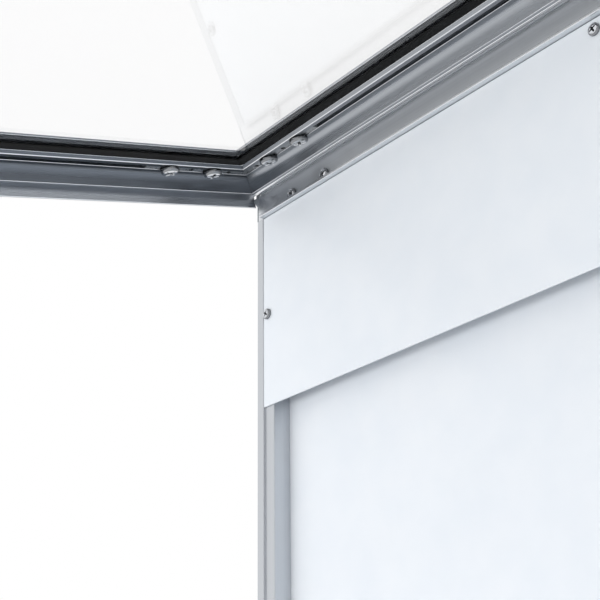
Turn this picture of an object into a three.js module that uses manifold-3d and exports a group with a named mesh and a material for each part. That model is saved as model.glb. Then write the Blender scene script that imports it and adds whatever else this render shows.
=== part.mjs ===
// Lockable notice board with a top-hinged glazed door, held open by two gas struts.
// Lengths are millimetres and +Z is up. The front of the board looks along -Y and the wall is at Y = 0.
// The origin is the middle of the top rail's rear face, which is set level against the wall.
//
// Everything is drawn in the case frame first: x runs from the case's left edge, y is the depth behind
// the plane of the case's rim, and z is the height above the underside of the gutter, where the header
// sheet begins. The door is drawn shut, and its group is then turned about the hinge to its open rest.

import * as THREE from 'three';
import { mergeVertices } from 'three/addons/utils/BufferGeometryUtils.js';
import Module from 'manifold-3d';

const wasm = await Module();
wasm.setup();

// Overall sizes
const caseWidth = 800;
const caseDepth = 22;
const headerHeight = 117.4;
const displayHeight = 926;
const doorOpenDegrees = 77;

// Clearances
const seatGap = 0.3;
const buttGap = 0.1;
const sheetGap = 0.15;
const shankGap = 0.3;
const cutOverrun = 1;
const weldDistance = 0.0001;

// Case section: across is counted inwards from the outer edge, depth from the rim plane to the wall
const caseWall = 1.5;
const rimWidth = 6;
const rimStep = 1.2;
const landWidth = 8.6;
const rimRound = 0.7;
const panelDepth = 12.3;
const panelThickness = 1;
const grooveDepth = 5;
const grooveLip = 1.5;
const footWidth = 10;

// Top rail of the case, with the gutter lip and the hinge bead
const topRailRise = 17;
const topRailDrop = 10;
const gutterReach = 3.2;
const gutterRise = 1.7;
const gutterSkin = 0.8;
const hingeForward = 2;
const hingeAboveRail = 2.2;
const beadRadius = 1.6;
const beadGap = 0.25;
const neckThickness = 0.8;
const upstandThickness = 1.4;
const knuckleWall = 1.05;
const knuckleSweepGap = 0.4;
const endCapThickness = 1.2;
const endCapWingEdge = 2.2;
const endCapWingDrop = 6.3;
const endCapWingGap = 0.4;

// Door section: across is counted inwards from the door's edge, depth from its inner flat to the wall
const doorOverlap = 5.2;
const doorFront = 11;
const doorFrontRound = 2.5;
const doorWall = 1.5;
const skirtThickness = 1.2;
const skirtReach = 15.6;
const bayFloor = 5.4;
const ridgeAcross = 6.4;
const ridgeThickness = 0.7;
const ridgeReach = 9.1;
const coveWidth = 4.6;
const hingeAcross = 3;
const hingeDepth = 7.4;
const webTurnDegrees = 40;
const slotAcross = 15.6;
const slotMouth = 4;
const slotInside = 8;
const slotLip = 1.6;
const slotDepth = 4.6;
const landEnd = 21.2;
const glassWallAcross = 22.2;
const glassWallDrop = 2.3;
const lipReach = 10;
const lipThickness = 1.5;
const lipSetBack = 0.8;

// Pane with its gasket on the inside and its tape on the front lip
const paneThickness = 4;
const paneDepth = 3.2;
const paneEdgeGap = 0.8;
const gasketWidth = 7.6;
const gasketRise = 0.6;
const tapeThickness = 0.9;
const tapeSetBack = 1;

// Corner pieces and screws
const cleatArm = 85;
const cleatSideGap = 0.4;
const cleatScrewFirst = 39.5;
const cleatScrewSpacing = 29.5;
const cleatScrewHead = 5.4;
const cleatScrewHeight = 3;
const cleatScrewShank = 1.6;
const cleatSpareHole = 1.5;
const cleatSpareBefore = 12;
const bracketArm = 86;
const bracketScrewGap = 5.5;
const bracketWidth = 10.2;
const bracketThickness = 3;
const railScrewFirst = 36;
const railScrewSpacing = 31;
const railScrewHeight = 4.4;
const railScrewHead = 3.5;
const railScrewRise = 2.1;
const railScrewShank = 1.8;
const headerSheet = 0.9;
const headerSideGap = 0.3;
const headerScrewHead = 3.2;
const headerScrewRise = 1.9;
const headerScrewShank = 1.4;
const headerScrewInset = 6;
const headerScrewDropShare = 0.53;
const headerScrewReach = 5;
const headerTopScrews = 2;
const wallHoleRadius = 4;
const wallHoleInset = 60;
const wallHoleRise = 70;

// Locks in the bottom rail of the door, and their strike plates on the case
const lockInset = 130;
const lockBarrelRadius = 5.5;
const lockHubRadius = 3.4;
const lockHeadRadius = 8.5;
const lockHeadThickness = 1.6;
const keySlotLength = 6.4;
const keySlotWidth = 1.4;
const keySlotDepth = 3;
const camThickness = 2;
const camDepth = 4;
const camHalfWidth = 4;
const camReach = 24;
const camScrewRadius = 2.6;
const camScrewRise = 1.6;
const strikeThickness = 1.5;
const strikeEnds = 10;
const strikeBar = 2.7;
const strikeGap = 0.5;
const strikeSink = 9;

// Gas struts, placed by where their pivots lie from the hinge
const strutAcross = 29;
const strutCaseDrop = 740;
const strutCaseDepth = 4;
const strutDoorReach = 250;
const strutDoorDepth = 15;
const strutRodRadius = 3;
const strutTubeRadius = 6.5;
const strutTubeWall = 1.1;
const strutRodGap = 0.3;
const strutFoot = 22;
const strutShutRod = 40;
const strutHeldRod = 60;
const strutGuide = 12;
const strutPistonHeight = 8;
const strutPistonGap = 0.4;
const eyeRadius = 4.6;
const eyeWidth = 6;
const eyeNeckRadius = 2.9;
const pivotRadius = 3;
const pivotHeadRadius = 4.2;
const pivotHeadThickness = 1.6;
const pivotFaceGap = 0.4;
const plateThickness = 2;
const plateLength = 40;

// A pan-head screw's outline and recess, as shares of its head's radius and height
const crownRadiusShare = 0.55;
const crownHeightShare = 0.96;
const slopeRadiusShare = 0.86;
const slopeHeightShare = 0.78;
const flankHeightShare = 0.45;
const recessReachShare = 0.55;
const recessWebShare = 0.13;
const recessFloorShare = 0.35;

// Round counts
const arcSteps = 5;
const screwSides = 14;
const holeSides = 10;
const barSides = 20;

// Sizes that follow from the ones above
const innerWall = rimWidth + landWidth;
const caseDrop = headerHeight + displayHeight + innerWall;
const zeroLevel = (topRailDrop - topRailRise) / 2;
const hingeHeight = topRailRise + hingeAboveRail;
const socketRadius = beadRadius + beadGap;
const knuckleRadius = socketRadius + knuckleWall;
const sweepRadius = knuckleRadius + knuckleSweepGap;
const doorWidth = caseWidth + 2 * doorOverlap;
const doorTop = hingeHeight + hingeAcross;
const doorHeight = doorTop + caseDrop + doorOverlap;
const doorFlat = -hingeForward - hingeDepth;
const lipAcross = glassWallAcross + lipReach;
const tapeFront = paneDepth + paneThickness + seatGap + tapeThickness;
const lipBack = tapeFront + seatGap;
const bracketDrop = headerHeight / 2 - headerScrewHead - bracketScrewGap;
const openAngle = THREE.MathUtils.degToRad(doorOpenDegrees);

// Materials
const metal = (name, color, roughness) =>
  new THREE.MeshStandardMaterial({ name, color, roughness, metalness: 0.9 });
const plain = (name, color, roughness) =>
  new THREE.MeshStandardMaterial({ name, color, roughness, metalness: 0 });
const anodised = metal('anodised_aluminium', 0xb4bac0, 0.4);
const railAnodised = metal('rail_aluminium', 0x959aa3, 0.42);
const steel = metal('bright_steel', 0xc9ccd1, 0.2);
const castZinc = metal('cast_zinc', 0x9a9da2, 0.4);
const darkSteel = metal('dark_steel', 0x2b2d30, 0.5);
const whiteSteel = plain('white_enamel', 0xe8edf5, 0.35);
const rubber = plain('black_rubber', 0x141516, 0.7);
const foamTape = plain('grey_foam_tape', 0x4a4d52, 0.9);
const capPlastic = plain('grey_plastic', 0x959aa3, 0.5);
const glass = new THREE.MeshStandardMaterial({ name: 'clear_pane', color: 0xf4f8f8, roughness: 0.04 });
glass.transparent = true;
glass.opacity = 0.25;

// Joins a geometry's loose corners and makes a solid that can be cut and joined
function solidOf(geometry) {
  const bare = geometry.clone();
  bare.deleteAttribute('normal');
  bare.deleteAttribute('uv');
  const merged = mergeVertices(bare, weldDistance);
  const vertProperties = Float32Array.from(merged.attributes.position.array);
  const triVerts = Uint32Array.from(merged.index.array);
  return new wasm.Manifold(new wasm.Mesh({ numProp: 3, vertProperties, triVerts }));
}

function geometryOf(solid) {
  const mesh = solid.getMesh();
  const indexed = new THREE.BufferGeometry();
  indexed.setAttribute('position', new THREE.BufferAttribute(mesh.vertProperties, 3));
  indexed.setIndex(new THREE.BufferAttribute(mesh.triVerts, 1));
  const geometry = indexed.toNonIndexed();
  geometry.computeVertexNormals();
  return geometry;
}

function cut(geometry, cutters) {
  const left = cutters.reduce((solid, cutter) => solid.subtract(solidOf(cutter)), solidOf(geometry));
  return geometryOf(left);
}

function join(...geometries) {
  const whole = geometries.map(solidOf).reduce((solid, next) => solid.add(next));
  return geometryOf(whole);
}

// A box given by its two corners
function boxBetween([x0, y0, z0], [x1, y1, z1]) {
  const geometry = new THREE.BoxGeometry(x1 - x0, y1 - y0, z1 - z0);
  return geometry.translate((x0 + x1) / 2, (y0 + y1) / 2, (z0 + z1) / 2);
}

// A round bar from one depth to the other, lying along Y
function barAlongY(radius, fromY, toY, x, z, sides = barSides) {
  const geometry = new THREE.CylinderGeometry(radius, radius, toY - fromY, sides);
  return geometry.translate(x, (fromY + toY) / 2, z);
}

// A round bar lying along X
function barAlongX(radius, fromX, toX, y, z, sides = barSides) {
  const geometry = new THREE.CylinderGeometry(radius, radius, toX - fromX, sides);
  return geometry.rotateZ(-Math.PI / 2).translate((fromX + toX) / 2, y, z);
}

// Turns a shape inside out by x = -x, with its faces put right again
function mirrorX(geometry) {
  const loose = geometry.index ? geometry.toNonIndexed() : geometry.clone();
  loose.scale(-1, 1, 1);
  const { array } = loose.attributes.position;
  for (let first = 0; first < array.length; first += 9) {
    for (let axis = 0; axis < 3; axis += 1) {
      const second = first + 3 + axis;
      const third = first + 6 + axis;
      [array[second], array[third]] = [array[third], array[second]];
    }
  }
  loose.computeVertexNormals();
  return loose;
}

// An outline whose corners may be rounded: a point is [across, depth] or [across, depth, radius]
function outline(points) {
  const shape = new THREE.Shape();
  const count = points.length;
  points.forEach(([x, y, radius = 0], index) => {
    const here = new THREE.Vector2(x, y);
    const before = new THREE.Vector2(...points[(index + count - 1) % count].slice(0, 2));
    const after = new THREE.Vector2(...points[(index + 1) % count].slice(0, 2));
    const start = before.sub(here).setLength(radius).add(here);
    const end = after.sub(here).setLength(radius).add(here);
    if (index === 0) shape.moveTo(end.x, end.y);
    else shape.lineTo(start.x, start.y);
    if (index > 0 && radius > 0) shape.quadraticCurveTo(x, y, end.x, end.y);
  });
  shape.closePath();
  return shape;
}

// A length of a section. Each end is square or mitred at 45 degrees, inwards with the section's across
function lengthOf(section, length, mitreStart, mitreEnd) {
  const settings = { depth: length, bevelEnabled: false, curveSegments: arcSteps };
  const geometry = new THREE.ExtrudeGeometry(section, settings);
  const position = geometry.attributes.position;
  for (let index = 0; index < position.count; index += 1) {
    const across = position.getX(index);
    const atEnd = position.getZ(index) > length / 2;
    if (atEnd && mitreEnd) position.setZ(index, length - across);
    if (!atEnd && mitreStart) position.setZ(index, across);
  }
  geometry.computeVertexNormals();
  return geometry;
}

// The four sides of a frame: where each starts, and its across, depth and running directions
const right = new THREE.Vector3(1, 0, 0);
const back = new THREE.Vector3(0, 1, 0);
const up = new THREE.Vector3(0, 0, 1);
const left = right.clone().negate();
const down = up.clone().negate();

function sidesOf(width, height) {
  return {
    top: { start: [0, 0, 0], across: down, along: right, length: width },
    right: { start: [width, 0, 0], across: left, along: down, length: height },
    bottom: { start: [width, 0, -height], across: up, along: left, length: width },
    left: { start: [0, 0, -height], across: right, along: up, length: height },
  };
}

function onSide(geometry, side) {
  const turn = new THREE.Matrix4().makeBasis(side.across, back, side.along);
  return geometry.applyMatrix4(turn).translate(...side.start);
}

function place(group, name, geometry, material, position = [0, 0, 0], turnX = 0) {
  const mesh = new THREE.Mesh(geometry, material);
  mesh.name = name;
  mesh.position.set(...position);
  mesh.rotation.x = turnX;
  group.add(mesh);
  return mesh;
}

// A pan-head screw with a cross recess. Its seat is at y = 0, its head towards -Y, its shank towards +Y
function panScrew(headRadius, headHeight, shankRadius, shankLength) {
  const profile = [
    [0, -headHeight],
    [headRadius * crownRadiusShare, -headHeight * crownHeightShare],
    [headRadius * slopeRadiusShare, -headHeight * slopeHeightShare],
    [headRadius, -headHeight * flankHeightShare],
    [headRadius, 0],
    [shankRadius, 0],
    [shankRadius, shankLength - shankRadius],
    [0, shankLength],
  ];
  const points = profile.map(([radius, y]) => new THREE.Vector2(radius, y));
  const body = new THREE.LatheGeometry(points, screwSides);
  const wing = headRadius * recessReachShare;
  const web = headRadius * recessWebShare;
  const top = -headHeight - cutOverrun;
  const floor = -headHeight * recessFloorShare;
  const levelSlot = boxBetween([-wing, top, -web], [wing, floor, web]);
  const uprightSlot = boxBetween([-web, top, -wing], [web, floor, wing]);
  return cut(body, [levelSlot, uprightSlot]);
}

// Case section, the same on both stiles and the bottom rail
function caseSection() {
  const grooveFront = panelDepth - sheetGap;
  const grooveBack = panelDepth + panelThickness + sheetGap;
  const section = outline([
    [0, 0, rimRound],
    [rimWidth, 0, rimRound],
    [rimWidth, rimStep],
    [innerWall, rimStep, rimRound],
    [innerWall, grooveFront],
    [innerWall - grooveDepth, grooveFront],
    [innerWall - grooveDepth, grooveBack],
    [innerWall, grooveBack],
    [innerWall, grooveBack + grooveLip],
    [caseWall, grooveBack + grooveLip],
    [caseWall, caseDepth - caseWall],
    [footWidth, caseDepth - caseWall],
    [footWidth, caseDepth],
    [0, caseDepth],
  ]);
  section.holes.push(outline([
    [caseWall, rimStep + caseWall],
    [innerWall - caseWall, rimStep + caseWall],
    [innerWall - caseWall, grooveFront - caseWall],
    [caseWall, grooveFront - caseWall],
  ]));
  return section;
}

// Top rail section, drawn as depth and height: land, gutter lip, front face, hinge bead, rear pocket
function topRailSection() {
  const grooveFront = panelDepth - sheetGap;
  const grooveBack = panelDepth + panelThickness + sheetGap;
  const faceTop = hingeHeight - Math.sqrt(sweepRadius ** 2 - hingeForward ** 2);
  const sweepStart = Math.atan2(faceTop - hingeHeight, hingeForward);
  const neckOnSweep = Math.asin(neckThickness / 2 / sweepRadius);
  const neckOnBead = Math.asin(neckThickness / 2 / beadRadius);
  const upstandBack = sweepRadius - hingeForward + upstandThickness;
  const section = new THREE.Shape();
  section.moveTo(rimStep, -topRailDrop);
  section.lineTo(rimStep, 0);
  section.lineTo(-gutterReach, 0);
  section.lineTo(-gutterReach, gutterRise);
  section.lineTo(gutterSkin - gutterReach, gutterRise);
  section.lineTo(gutterSkin - gutterReach, gutterSkin);
  section.lineTo(0, gutterSkin);
  section.lineTo(0, faceTop);
  section.absarc(-hingeForward, hingeHeight, sweepRadius, sweepStart, -neckOnSweep, false);
  section.absarc(-hingeForward, hingeHeight, beadRadius, -neckOnBead, neckOnBead - 2 * Math.PI, true);
  section.lineTo(upstandBack, hingeHeight + neckThickness / 2);
  section.lineTo(upstandBack, topRailRise);
  section.lineTo(caseDepth, topRailRise);
  section.lineTo(caseDepth, -topRailDrop);
  section.lineTo(caseDepth - caseWall, -topRailDrop);
  section.lineTo(caseDepth - caseWall, 0);
  section.lineTo(grooveBack + grooveLip, 0);
  section.lineTo(grooveBack + grooveLip, -topRailDrop);
  section.lineTo(grooveBack, -topRailDrop);
  section.lineTo(grooveBack, grooveDepth - topRailDrop);
  section.lineTo(grooveFront, grooveDepth - topRailDrop);
  section.lineTo(grooveFront, -topRailDrop);
  section.closePath();
  section.holes.push(
    outline([
      [caseWall, gutterSkin + caseWall],
      [caseDepth - caseWall, gutterSkin + caseWall],
      [caseDepth - caseWall, topRailRise - caseWall],
      [upstandBack, topRailRise - caseWall],
      [caseWall, faceTop - caseWall],
    ]),
    outline([
      [rimStep + caseWall, caseWall - topRailDrop],
      [grooveFront - caseWall, caseWall - topRailDrop],
      [grooveFront - caseWall, 0],
      [rimStep + caseWall, 0],
    ]),
  );
  return section;
}

// Hollow of the door section, between its outer wall, its front and the screw channel
function doorChamber() {
  const channelSide = slotAcross - slotInside / 2 - doorWall;
  const channelFloor = -slotDepth - doorWall;
  return outline([
    [doorWall, doorWall - doorFront, doorWall],
    [landEnd - doorWall, doorWall - doorFront],
    [landEnd - doorWall, channelFloor],
    [channelSide, channelFloor],
    [channelSide, -doorWall],
    [ridgeAcross, bayFloor - 2 * doorWall],
    [doorWall, bayFloor - 2 * doorWall],
  ]);
}

// The door section from the ridge inwards: cove, screw channel, glass wall, front lip, front face
function doorSectionInwards(section) {
  const ridgeBack = ridgeAcross + ridgeThickness;
  const mouth = [slotAcross - slotMouth / 2, slotAcross + slotMouth / 2];
  const inside = [slotAcross - slotInside / 2, slotAcross + slotInside / 2];
  const lipFront = lipBack + lipThickness;
  section.lineTo(ridgeBack, ridgeReach);
  section.quadraticCurveTo(ridgeBack, 0, ridgeBack + coveWidth, 0);
  section.lineTo(mouth[0], 0);
  section.lineTo(mouth[0], -slotLip);
  section.lineTo(inside[0], -slotLip);
  section.lineTo(inside[0], -slotDepth);
  section.lineTo(inside[1], -slotDepth);
  section.lineTo(inside[1], -slotLip);
  section.lineTo(mouth[1], -slotLip);
  section.lineTo(mouth[1], 0);
  section.lineTo(landEnd, 0);
  section.lineTo(glassWallAcross, -glassWallDrop);
  section.lineTo(glassWallAcross, -lipBack);
  section.lineTo(lipAcross, -lipBack);
  section.lineTo(lipAcross, lipSetBack - lipFront);
  section.quadraticCurveTo(lipAcross, -lipFront, lipAcross - lipThickness, -lipFront);
  section.quadraticCurveTo(glassWallAcross, -lipFront, landEnd, -doorFront);
  section.lineTo(doorFrontRound, -doorFront);
  section.quadraticCurveTo(0, -doorFront, 0, doorFrontRound - doorFront);
  section.holes.push(doorChamber());
}

// Door stiles and bottom rail: a skirt laps over the case's side, and a ridge closes on its rim
function doorSection() {
  const section = new THREE.Shape();
  const bayMiddle = (skirtThickness + ridgeAcross) / 2;
  section.moveTo(0, doorFrontRound - doorFront);
  section.lineTo(0, skirtReach);
  section.lineTo(skirtThickness, skirtReach);
  section.lineTo(skirtThickness, ridgeReach);
  section.quadraticCurveTo(skirtThickness, bayFloor, bayMiddle, bayFloor);
  section.quadraticCurveTo(ridgeAcross, bayFloor, ridgeAcross, ridgeReach);
  doorSectionInwards(section);
  return section;
}

// Door top rail: the skirt gives way to a round socket that turns on the case's hinge bead.
// The socket stays open where the bead's neck passes, from shut to fully open
function doorTopSection() {
  const neckTurn = Math.asin((neckThickness / 2 + beadGap) / socketRadius);
  const shutEnd = Math.PI / 2 - neckTurn;
  const openEnd = Math.PI / 2 + openAngle + neckTurn;
  const webTurn = THREE.MathUtils.degToRad(webTurnDegrees);
  const outerEnd = hingeDepth + knuckleRadius * Math.sin(openEnd);
  const section = new THREE.Shape();
  section.moveTo(0, doorFrontRound - doorFront);
  section.lineTo(0, outerEnd);
  section.absarc(hingeAcross, hingeDepth, socketRadius, openEnd, shutEnd + 2 * Math.PI, false);
  section.absarc(hingeAcross, hingeDepth, knuckleRadius, shutEnd, webTurn, true);
  doorSectionInwards(section);
  return section;
}

const board = new THREE.Group();
const caseGroup = new THREE.Group();
caseGroup.position.set(-caseWidth / 2, -caseDepth, zeroLevel);
board.add(caseGroup);

const caseSides = sidesOf(caseWidth, caseDrop);
const ends = [
  { name: 'left', sign: 1, edge: 0 },
  { name: 'right', sign: -1, edge: caseWidth },
];

// Where the case's top screws and the header's screws go
const railScrewPlaces = ends.flatMap(({ name, sign, edge }) => [0, 1].map((index) => ({
  name: `case_screw_${name}_${index + 1}`,
  x: edge + sign * (railScrewFirst + index * railScrewSpacing),
  z: railScrewHeight,
})));
const headerScrewPlaces = [
  { name: 'header_screw_left', x: rimWidth + landWidth / 2, z: -headerHeight * headerScrewDropShare },
  { name: 'header_screw_right', x: caseWidth - rimWidth - landWidth / 2, z: -headerHeight * headerScrewDropShare },
  ...Array.from({ length: headerTopScrews }, (_, index) => ({
    name: `header_screw_top_${index + 1}`,
    x: caseWidth * (index + 1) / (headerTopScrews + 1),
    z: -headerScrewInset,
  })),
];
const headerHoles = headerScrewPlaces.map(({ x, z }) =>
  barAlongY(headerScrewShank + shankGap, -cutOverrun, rimStep + caseWall + cutOverrun, x, z, screwSides));

// Case stiles and bottom rail, mitred below, with the stiles cut square under the top rail
function makeCaseFrame() {
  const section = caseSection();
  const bottom = onSide(lengthOf(section, caseWidth, true, true), caseSides.bottom);
  const leftStile = onSide(lengthOf(section, caseDrop - buttGap, true, false), caseSides.left);
  const rightStile = mirrorX(leftStile).translate(caseWidth, 0, 0);
  place(caseGroup, 'case_bottom_rail', bottom, anodised);
  place(caseGroup, 'case_left_stile', cut(leftStile, headerHoles), anodised);
  place(caseGroup, 'case_right_stile', cut(rightStile, headerHoles), anodised);
}

// Top rail, coped over the stiles at both ends, with a way down for the corner brackets. Its gutter
// stops short of the rim, where the door's ridge closes
function makeTopRail() {
  const length = caseWidth - 2 * (endCapThickness + buttGap);
  const turn = new THREE.Matrix4().makeBasis(back, up, right);
  const rail = lengthOf(topRailSection(), length, false, false).applyMatrix4(turn);
  rail.translate(endCapThickness + buttGap, 0, 0);
  const below = -topRailDrop - cutOverrun;
  const wayBack = panelDepth - sheetGap - caseWall;
  const wayTop = gutterSkin + 2 * caseWall;
  const copeEnd = innerWall + buttGap;
  const wayEnd = innerWall - caseWall;
  const leftCutters = [
    boxBetween([-cutOverrun, -gutterReach - cutOverrun, below], [rimWidth, 0, gutterRise + cutOverrun]),
    boxBetween([-cutOverrun, rimStep - cutOverrun, below], [copeEnd, caseDepth + cutOverrun, 0]),
    boxBetween([-cutOverrun, rimStep + caseWall, below], [wayEnd, wayBack, wayTop]),
  ];
  const rightCutters = leftCutters.map((cutter) => mirrorX(cutter).translate(caseWidth, 0, 0));
  const cutters = [...leftCutters, ...rightCutters];
  const screwHoles = railScrewPlaces.map(({ x, z }) =>
    barAlongY(railScrewShank + shankGap, -cutOverrun, caseWall + cutOverrun, x, z, screwSides));
  place(caseGroup, 'case_top_rail', cut(rail, [...cutters, ...screwHoles, ...headerHoles]), railAnodised);

  const faceTop = hingeHeight - Math.sqrt(sweepRadius ** 2 - hingeForward ** 2);
  const capTop = faceTop - seatGap;
  const hookFront = sweepRadius - hingeForward + seatGap;
  const hookBack = sweepRadius - hingeForward + upstandThickness;
  const hookTop = hingeHeight + neckThickness / 2;
  const capOutline = outline([
    [0, 0],
    [0, capTop],
    [caseWall, topRailRise],
    [hookFront, hookTop],
    [hookBack, hookTop],
    [hookBack, topRailRise],
    [caseDepth, topRailRise],
    [caseDepth, 0],
  ]);
  const capPlate = lengthOf(capOutline, endCapThickness, false, false).applyMatrix4(turn);

  // The cap's wing fills the corner under the door's skirt, and its hook the end of the hinge groove
  const wingReach = doorOverlap - skirtThickness - endCapWingGap;
  const wingOutline = outline([
    [endCapThickness, capTop],
    [-wingReach, capTop],
    [-wingReach, capTop - endCapWingEdge],
    [0, capTop - endCapWingDrop],
    [endCapThickness, capTop - endCapWingDrop],
  ]);
  const wingDepth = skirtReach + doorFlat;
  const upright = new THREE.Matrix4().makeBasis(right, up, back.clone().negate());
  const wing = lengthOf(wingOutline, wingDepth, false, false).applyMatrix4(upright);
  const hook = boxBetween(
    [-wingReach, hookFront, capTop - endCapWingEdge],
    [endCapThickness, hookBack, hookTop],
  );
  const cap = join(capPlate, wing.translate(0, wingDepth, 0), hook);
  place(caseGroup, 'top_rail_cap_left', cap, capPlastic);
  place(caseGroup, 'top_rail_cap_right', mirrorX(cap).translate(caseWidth, 0, 0), capPlastic);
}

// Flat corner brackets inside the hollows of the rails
function makeCaseBrackets() {
  const front = rimStep + caseWall + seatGap;
  const inset = caseWall + seatGap + buttGap;
  const topLevel = gutterSkin + caseWall + seatGap + bracketWidth;
  const shape = outline([
    [inset, topLevel],
    [bracketArm, topLevel],
    [bracketArm, topLevel - bracketWidth],
    [inset + bracketWidth, topLevel - bracketWidth],
    [inset + bracketWidth, -bracketDrop],
    [inset, -bracketDrop],
  ]);
  const flat = new THREE.Matrix4().makeBasis(right, up, back.clone().negate());
  const plate = lengthOf(shape, bracketThickness, false, false).applyMatrix4(flat);
  plate.translate(0, front + bracketThickness, 0);
  const holes = railScrewPlaces.map(({ x, z }) =>
    barAlongY(railScrewShank + shankGap, 0, front + bracketThickness + cutOverrun, x, z, screwSides));
  const leftPlate = cut(plate, holes);
  place(caseGroup, 'corner_bracket_top_left', leftPlate, steel);
  place(caseGroup, 'corner_bracket_top_right', mirrorX(leftPlate).translate(caseWidth, 0, 0), steel);

  const armFromCorner = outline([
    [inset, inset],
    [bracketArm, inset],
    [bracketArm, inset + bracketWidth],
    [inset + bracketWidth, inset + bracketWidth],
    [inset + bracketWidth, bracketArm],
    [inset, bracketArm],
  ]);
  const lower = lengthOf(armFromCorner, bracketThickness, false, false).applyMatrix4(flat);
  lower.translate(0, front + bracketThickness, -caseDrop);
  place(caseGroup, 'corner_bracket_bottom_left', lower, steel);
  place(caseGroup, 'corner_bracket_bottom_right', mirrorX(lower).translate(caseWidth, 0, 0), steel);
}

// Magnetic rear sheet in the rails' groove, with wall-fixing holes, and the header sheet on the lands
function makeSheets() {
  const reach = innerWall - grooveDepth + 2 * sheetGap;
  const panelTop = grooveDepth - topRailDrop - 2 * sheetGap;
  const panelBottom = reach - caseDrop;
  const sheet = boxBetween(
    [reach, panelDepth, panelBottom],
    [caseWidth - reach, panelDepth + panelThickness, panelTop],
  );
  const levels = [-wallHoleRise, wallHoleRise - caseDrop];
  const wallHoles = ends.flatMap(({ sign, edge }) => levels.map((z) =>
    barAlongY(wallHoleRadius, panelDepth - cutOverrun, panelDepth + panelThickness + cutOverrun,
      edge + sign * wallHoleInset, z)));
  place(caseGroup, 'rear_panel', cut(sheet, wallHoles), whiteSteel);

  const headerBack = rimStep - buttGap;
  const headerLeft = rimWidth + headerSideGap;
  const header = boxBetween(
    [headerLeft, headerBack - headerSheet, -headerHeight],
    [caseWidth - headerLeft, headerBack, -headerSideGap],
  );
  place(caseGroup, 'header_panel', cut(header, headerHoles), whiteSteel);
}

function makeCaseScrews() {
  const railScrew = panScrew(railScrewHead, railScrewRise, railScrewShank, caseWall + 2 * bracketThickness);
  railScrewPlaces.forEach(({ name, x, z }) => {
    place(caseGroup, name, railScrew, steel, [x, -buttGap, z]);
  });
  const headerFront = rimStep - buttGap - headerSheet;
  const headerScrew = panScrew(headerScrewHead, headerScrewRise, headerScrewShank, headerScrewReach);
  headerScrewPlaces.forEach(({ name, x, z }) => {
    place(caseGroup, name, headerScrew, steel, [x, headerFront - buttGap, z]);
  });
}

// Strike plates: each stands on the bottom rail's inner wall, with a window that the lock's cam turns into
const lockAcross = slotAcross;
const lockFromEdge = lockInset + doorOverlap;

function makeStrikes() {
  const low = innerWall + seatGap - caseDrop;
  const front = doorFlat + 2 * strikeGap - seatGap;
  const camFront = doorFlat + camDepth;
  const windowFront = camFront - strikeGap;
  const windowBack = camFront + camThickness + strikeGap;
  const windowStart = lockInset - camHalfWidth - 2 * strikeGap;
  const windowEnd = lockInset + camReach + 2 * strikeGap;
  const plate = boxBetween(
    [windowStart - strikeEnds, Math.min(front, windowFront - strikeBar), low],
    [windowEnd + strikeEnds, strikeSink, low + strikeThickness],
  );
  const opening = boxBetween(
    [windowStart, windowFront, low - cutOverrun],
    [windowEnd, windowBack, low + strikeThickness + cutOverrun],
  );
  const strike = cut(plate, [opening]);
  place(caseGroup, 'strike_plate_left', strike, steel);
  place(caseGroup, 'strike_plate_right', mirrorX(strike).translate(caseWidth, 0, 0), steel);
}

// The door hangs in a group that turns about the hinge. Inside it, the door frame's origin is the
// door's top left corner at its inner flat, with z down the door as a negative height
const doorTurn = new THREE.Group();
doorTurn.position.set(0, -hingeForward, hingeHeight);
doorTurn.rotation.x = -openAngle;
caseGroup.add(doorTurn);
const doorGroup = new THREE.Group();
doorGroup.position.set(-doorOverlap, -hingeDepth, hingeAcross);
doorTurn.add(doorGroup);
const doorSides = sidesOf(doorWidth, doorHeight);

const lockPlaces = [
  { name: 'left', x: lockFromEdge },
  { name: 'right', x: doorWidth - lockFromEdge },
];
const lockLevel = lockAcross - doorHeight;

// Mitred rails. Facing ends keep a hair's gap so that the turned solids stay clear of each other
function makeDoorRails() {
  const plainSection = doorSection();
  const hingeSection = doorTopSection();
  const bores = lockPlaces.map(({ x }) =>
    barAlongY(lockBarrelRadius + shankGap, -doorFront - cutOverrun, cutOverrun, x, lockLevel));
  Object.entries(doorSides).forEach(([name, side]) => {
    const section = name === 'top' ? hingeSection : plainSection;
    const rail = lengthOf(section, side.length - 2 * buttGap, true, true).translate(0, 0, buttGap);
    const placed = onSide(rail, side);
    const material = name === 'top' || name === 'bottom' ? railAnodised : anodised;
    const kind = name === 'left' || name === 'right' ? 'stile' : 'rail';
    place(doorGroup, `door_${name}_${kind}`, name === 'bottom' ? cut(placed, bores) : placed, material);
  });
}

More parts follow.
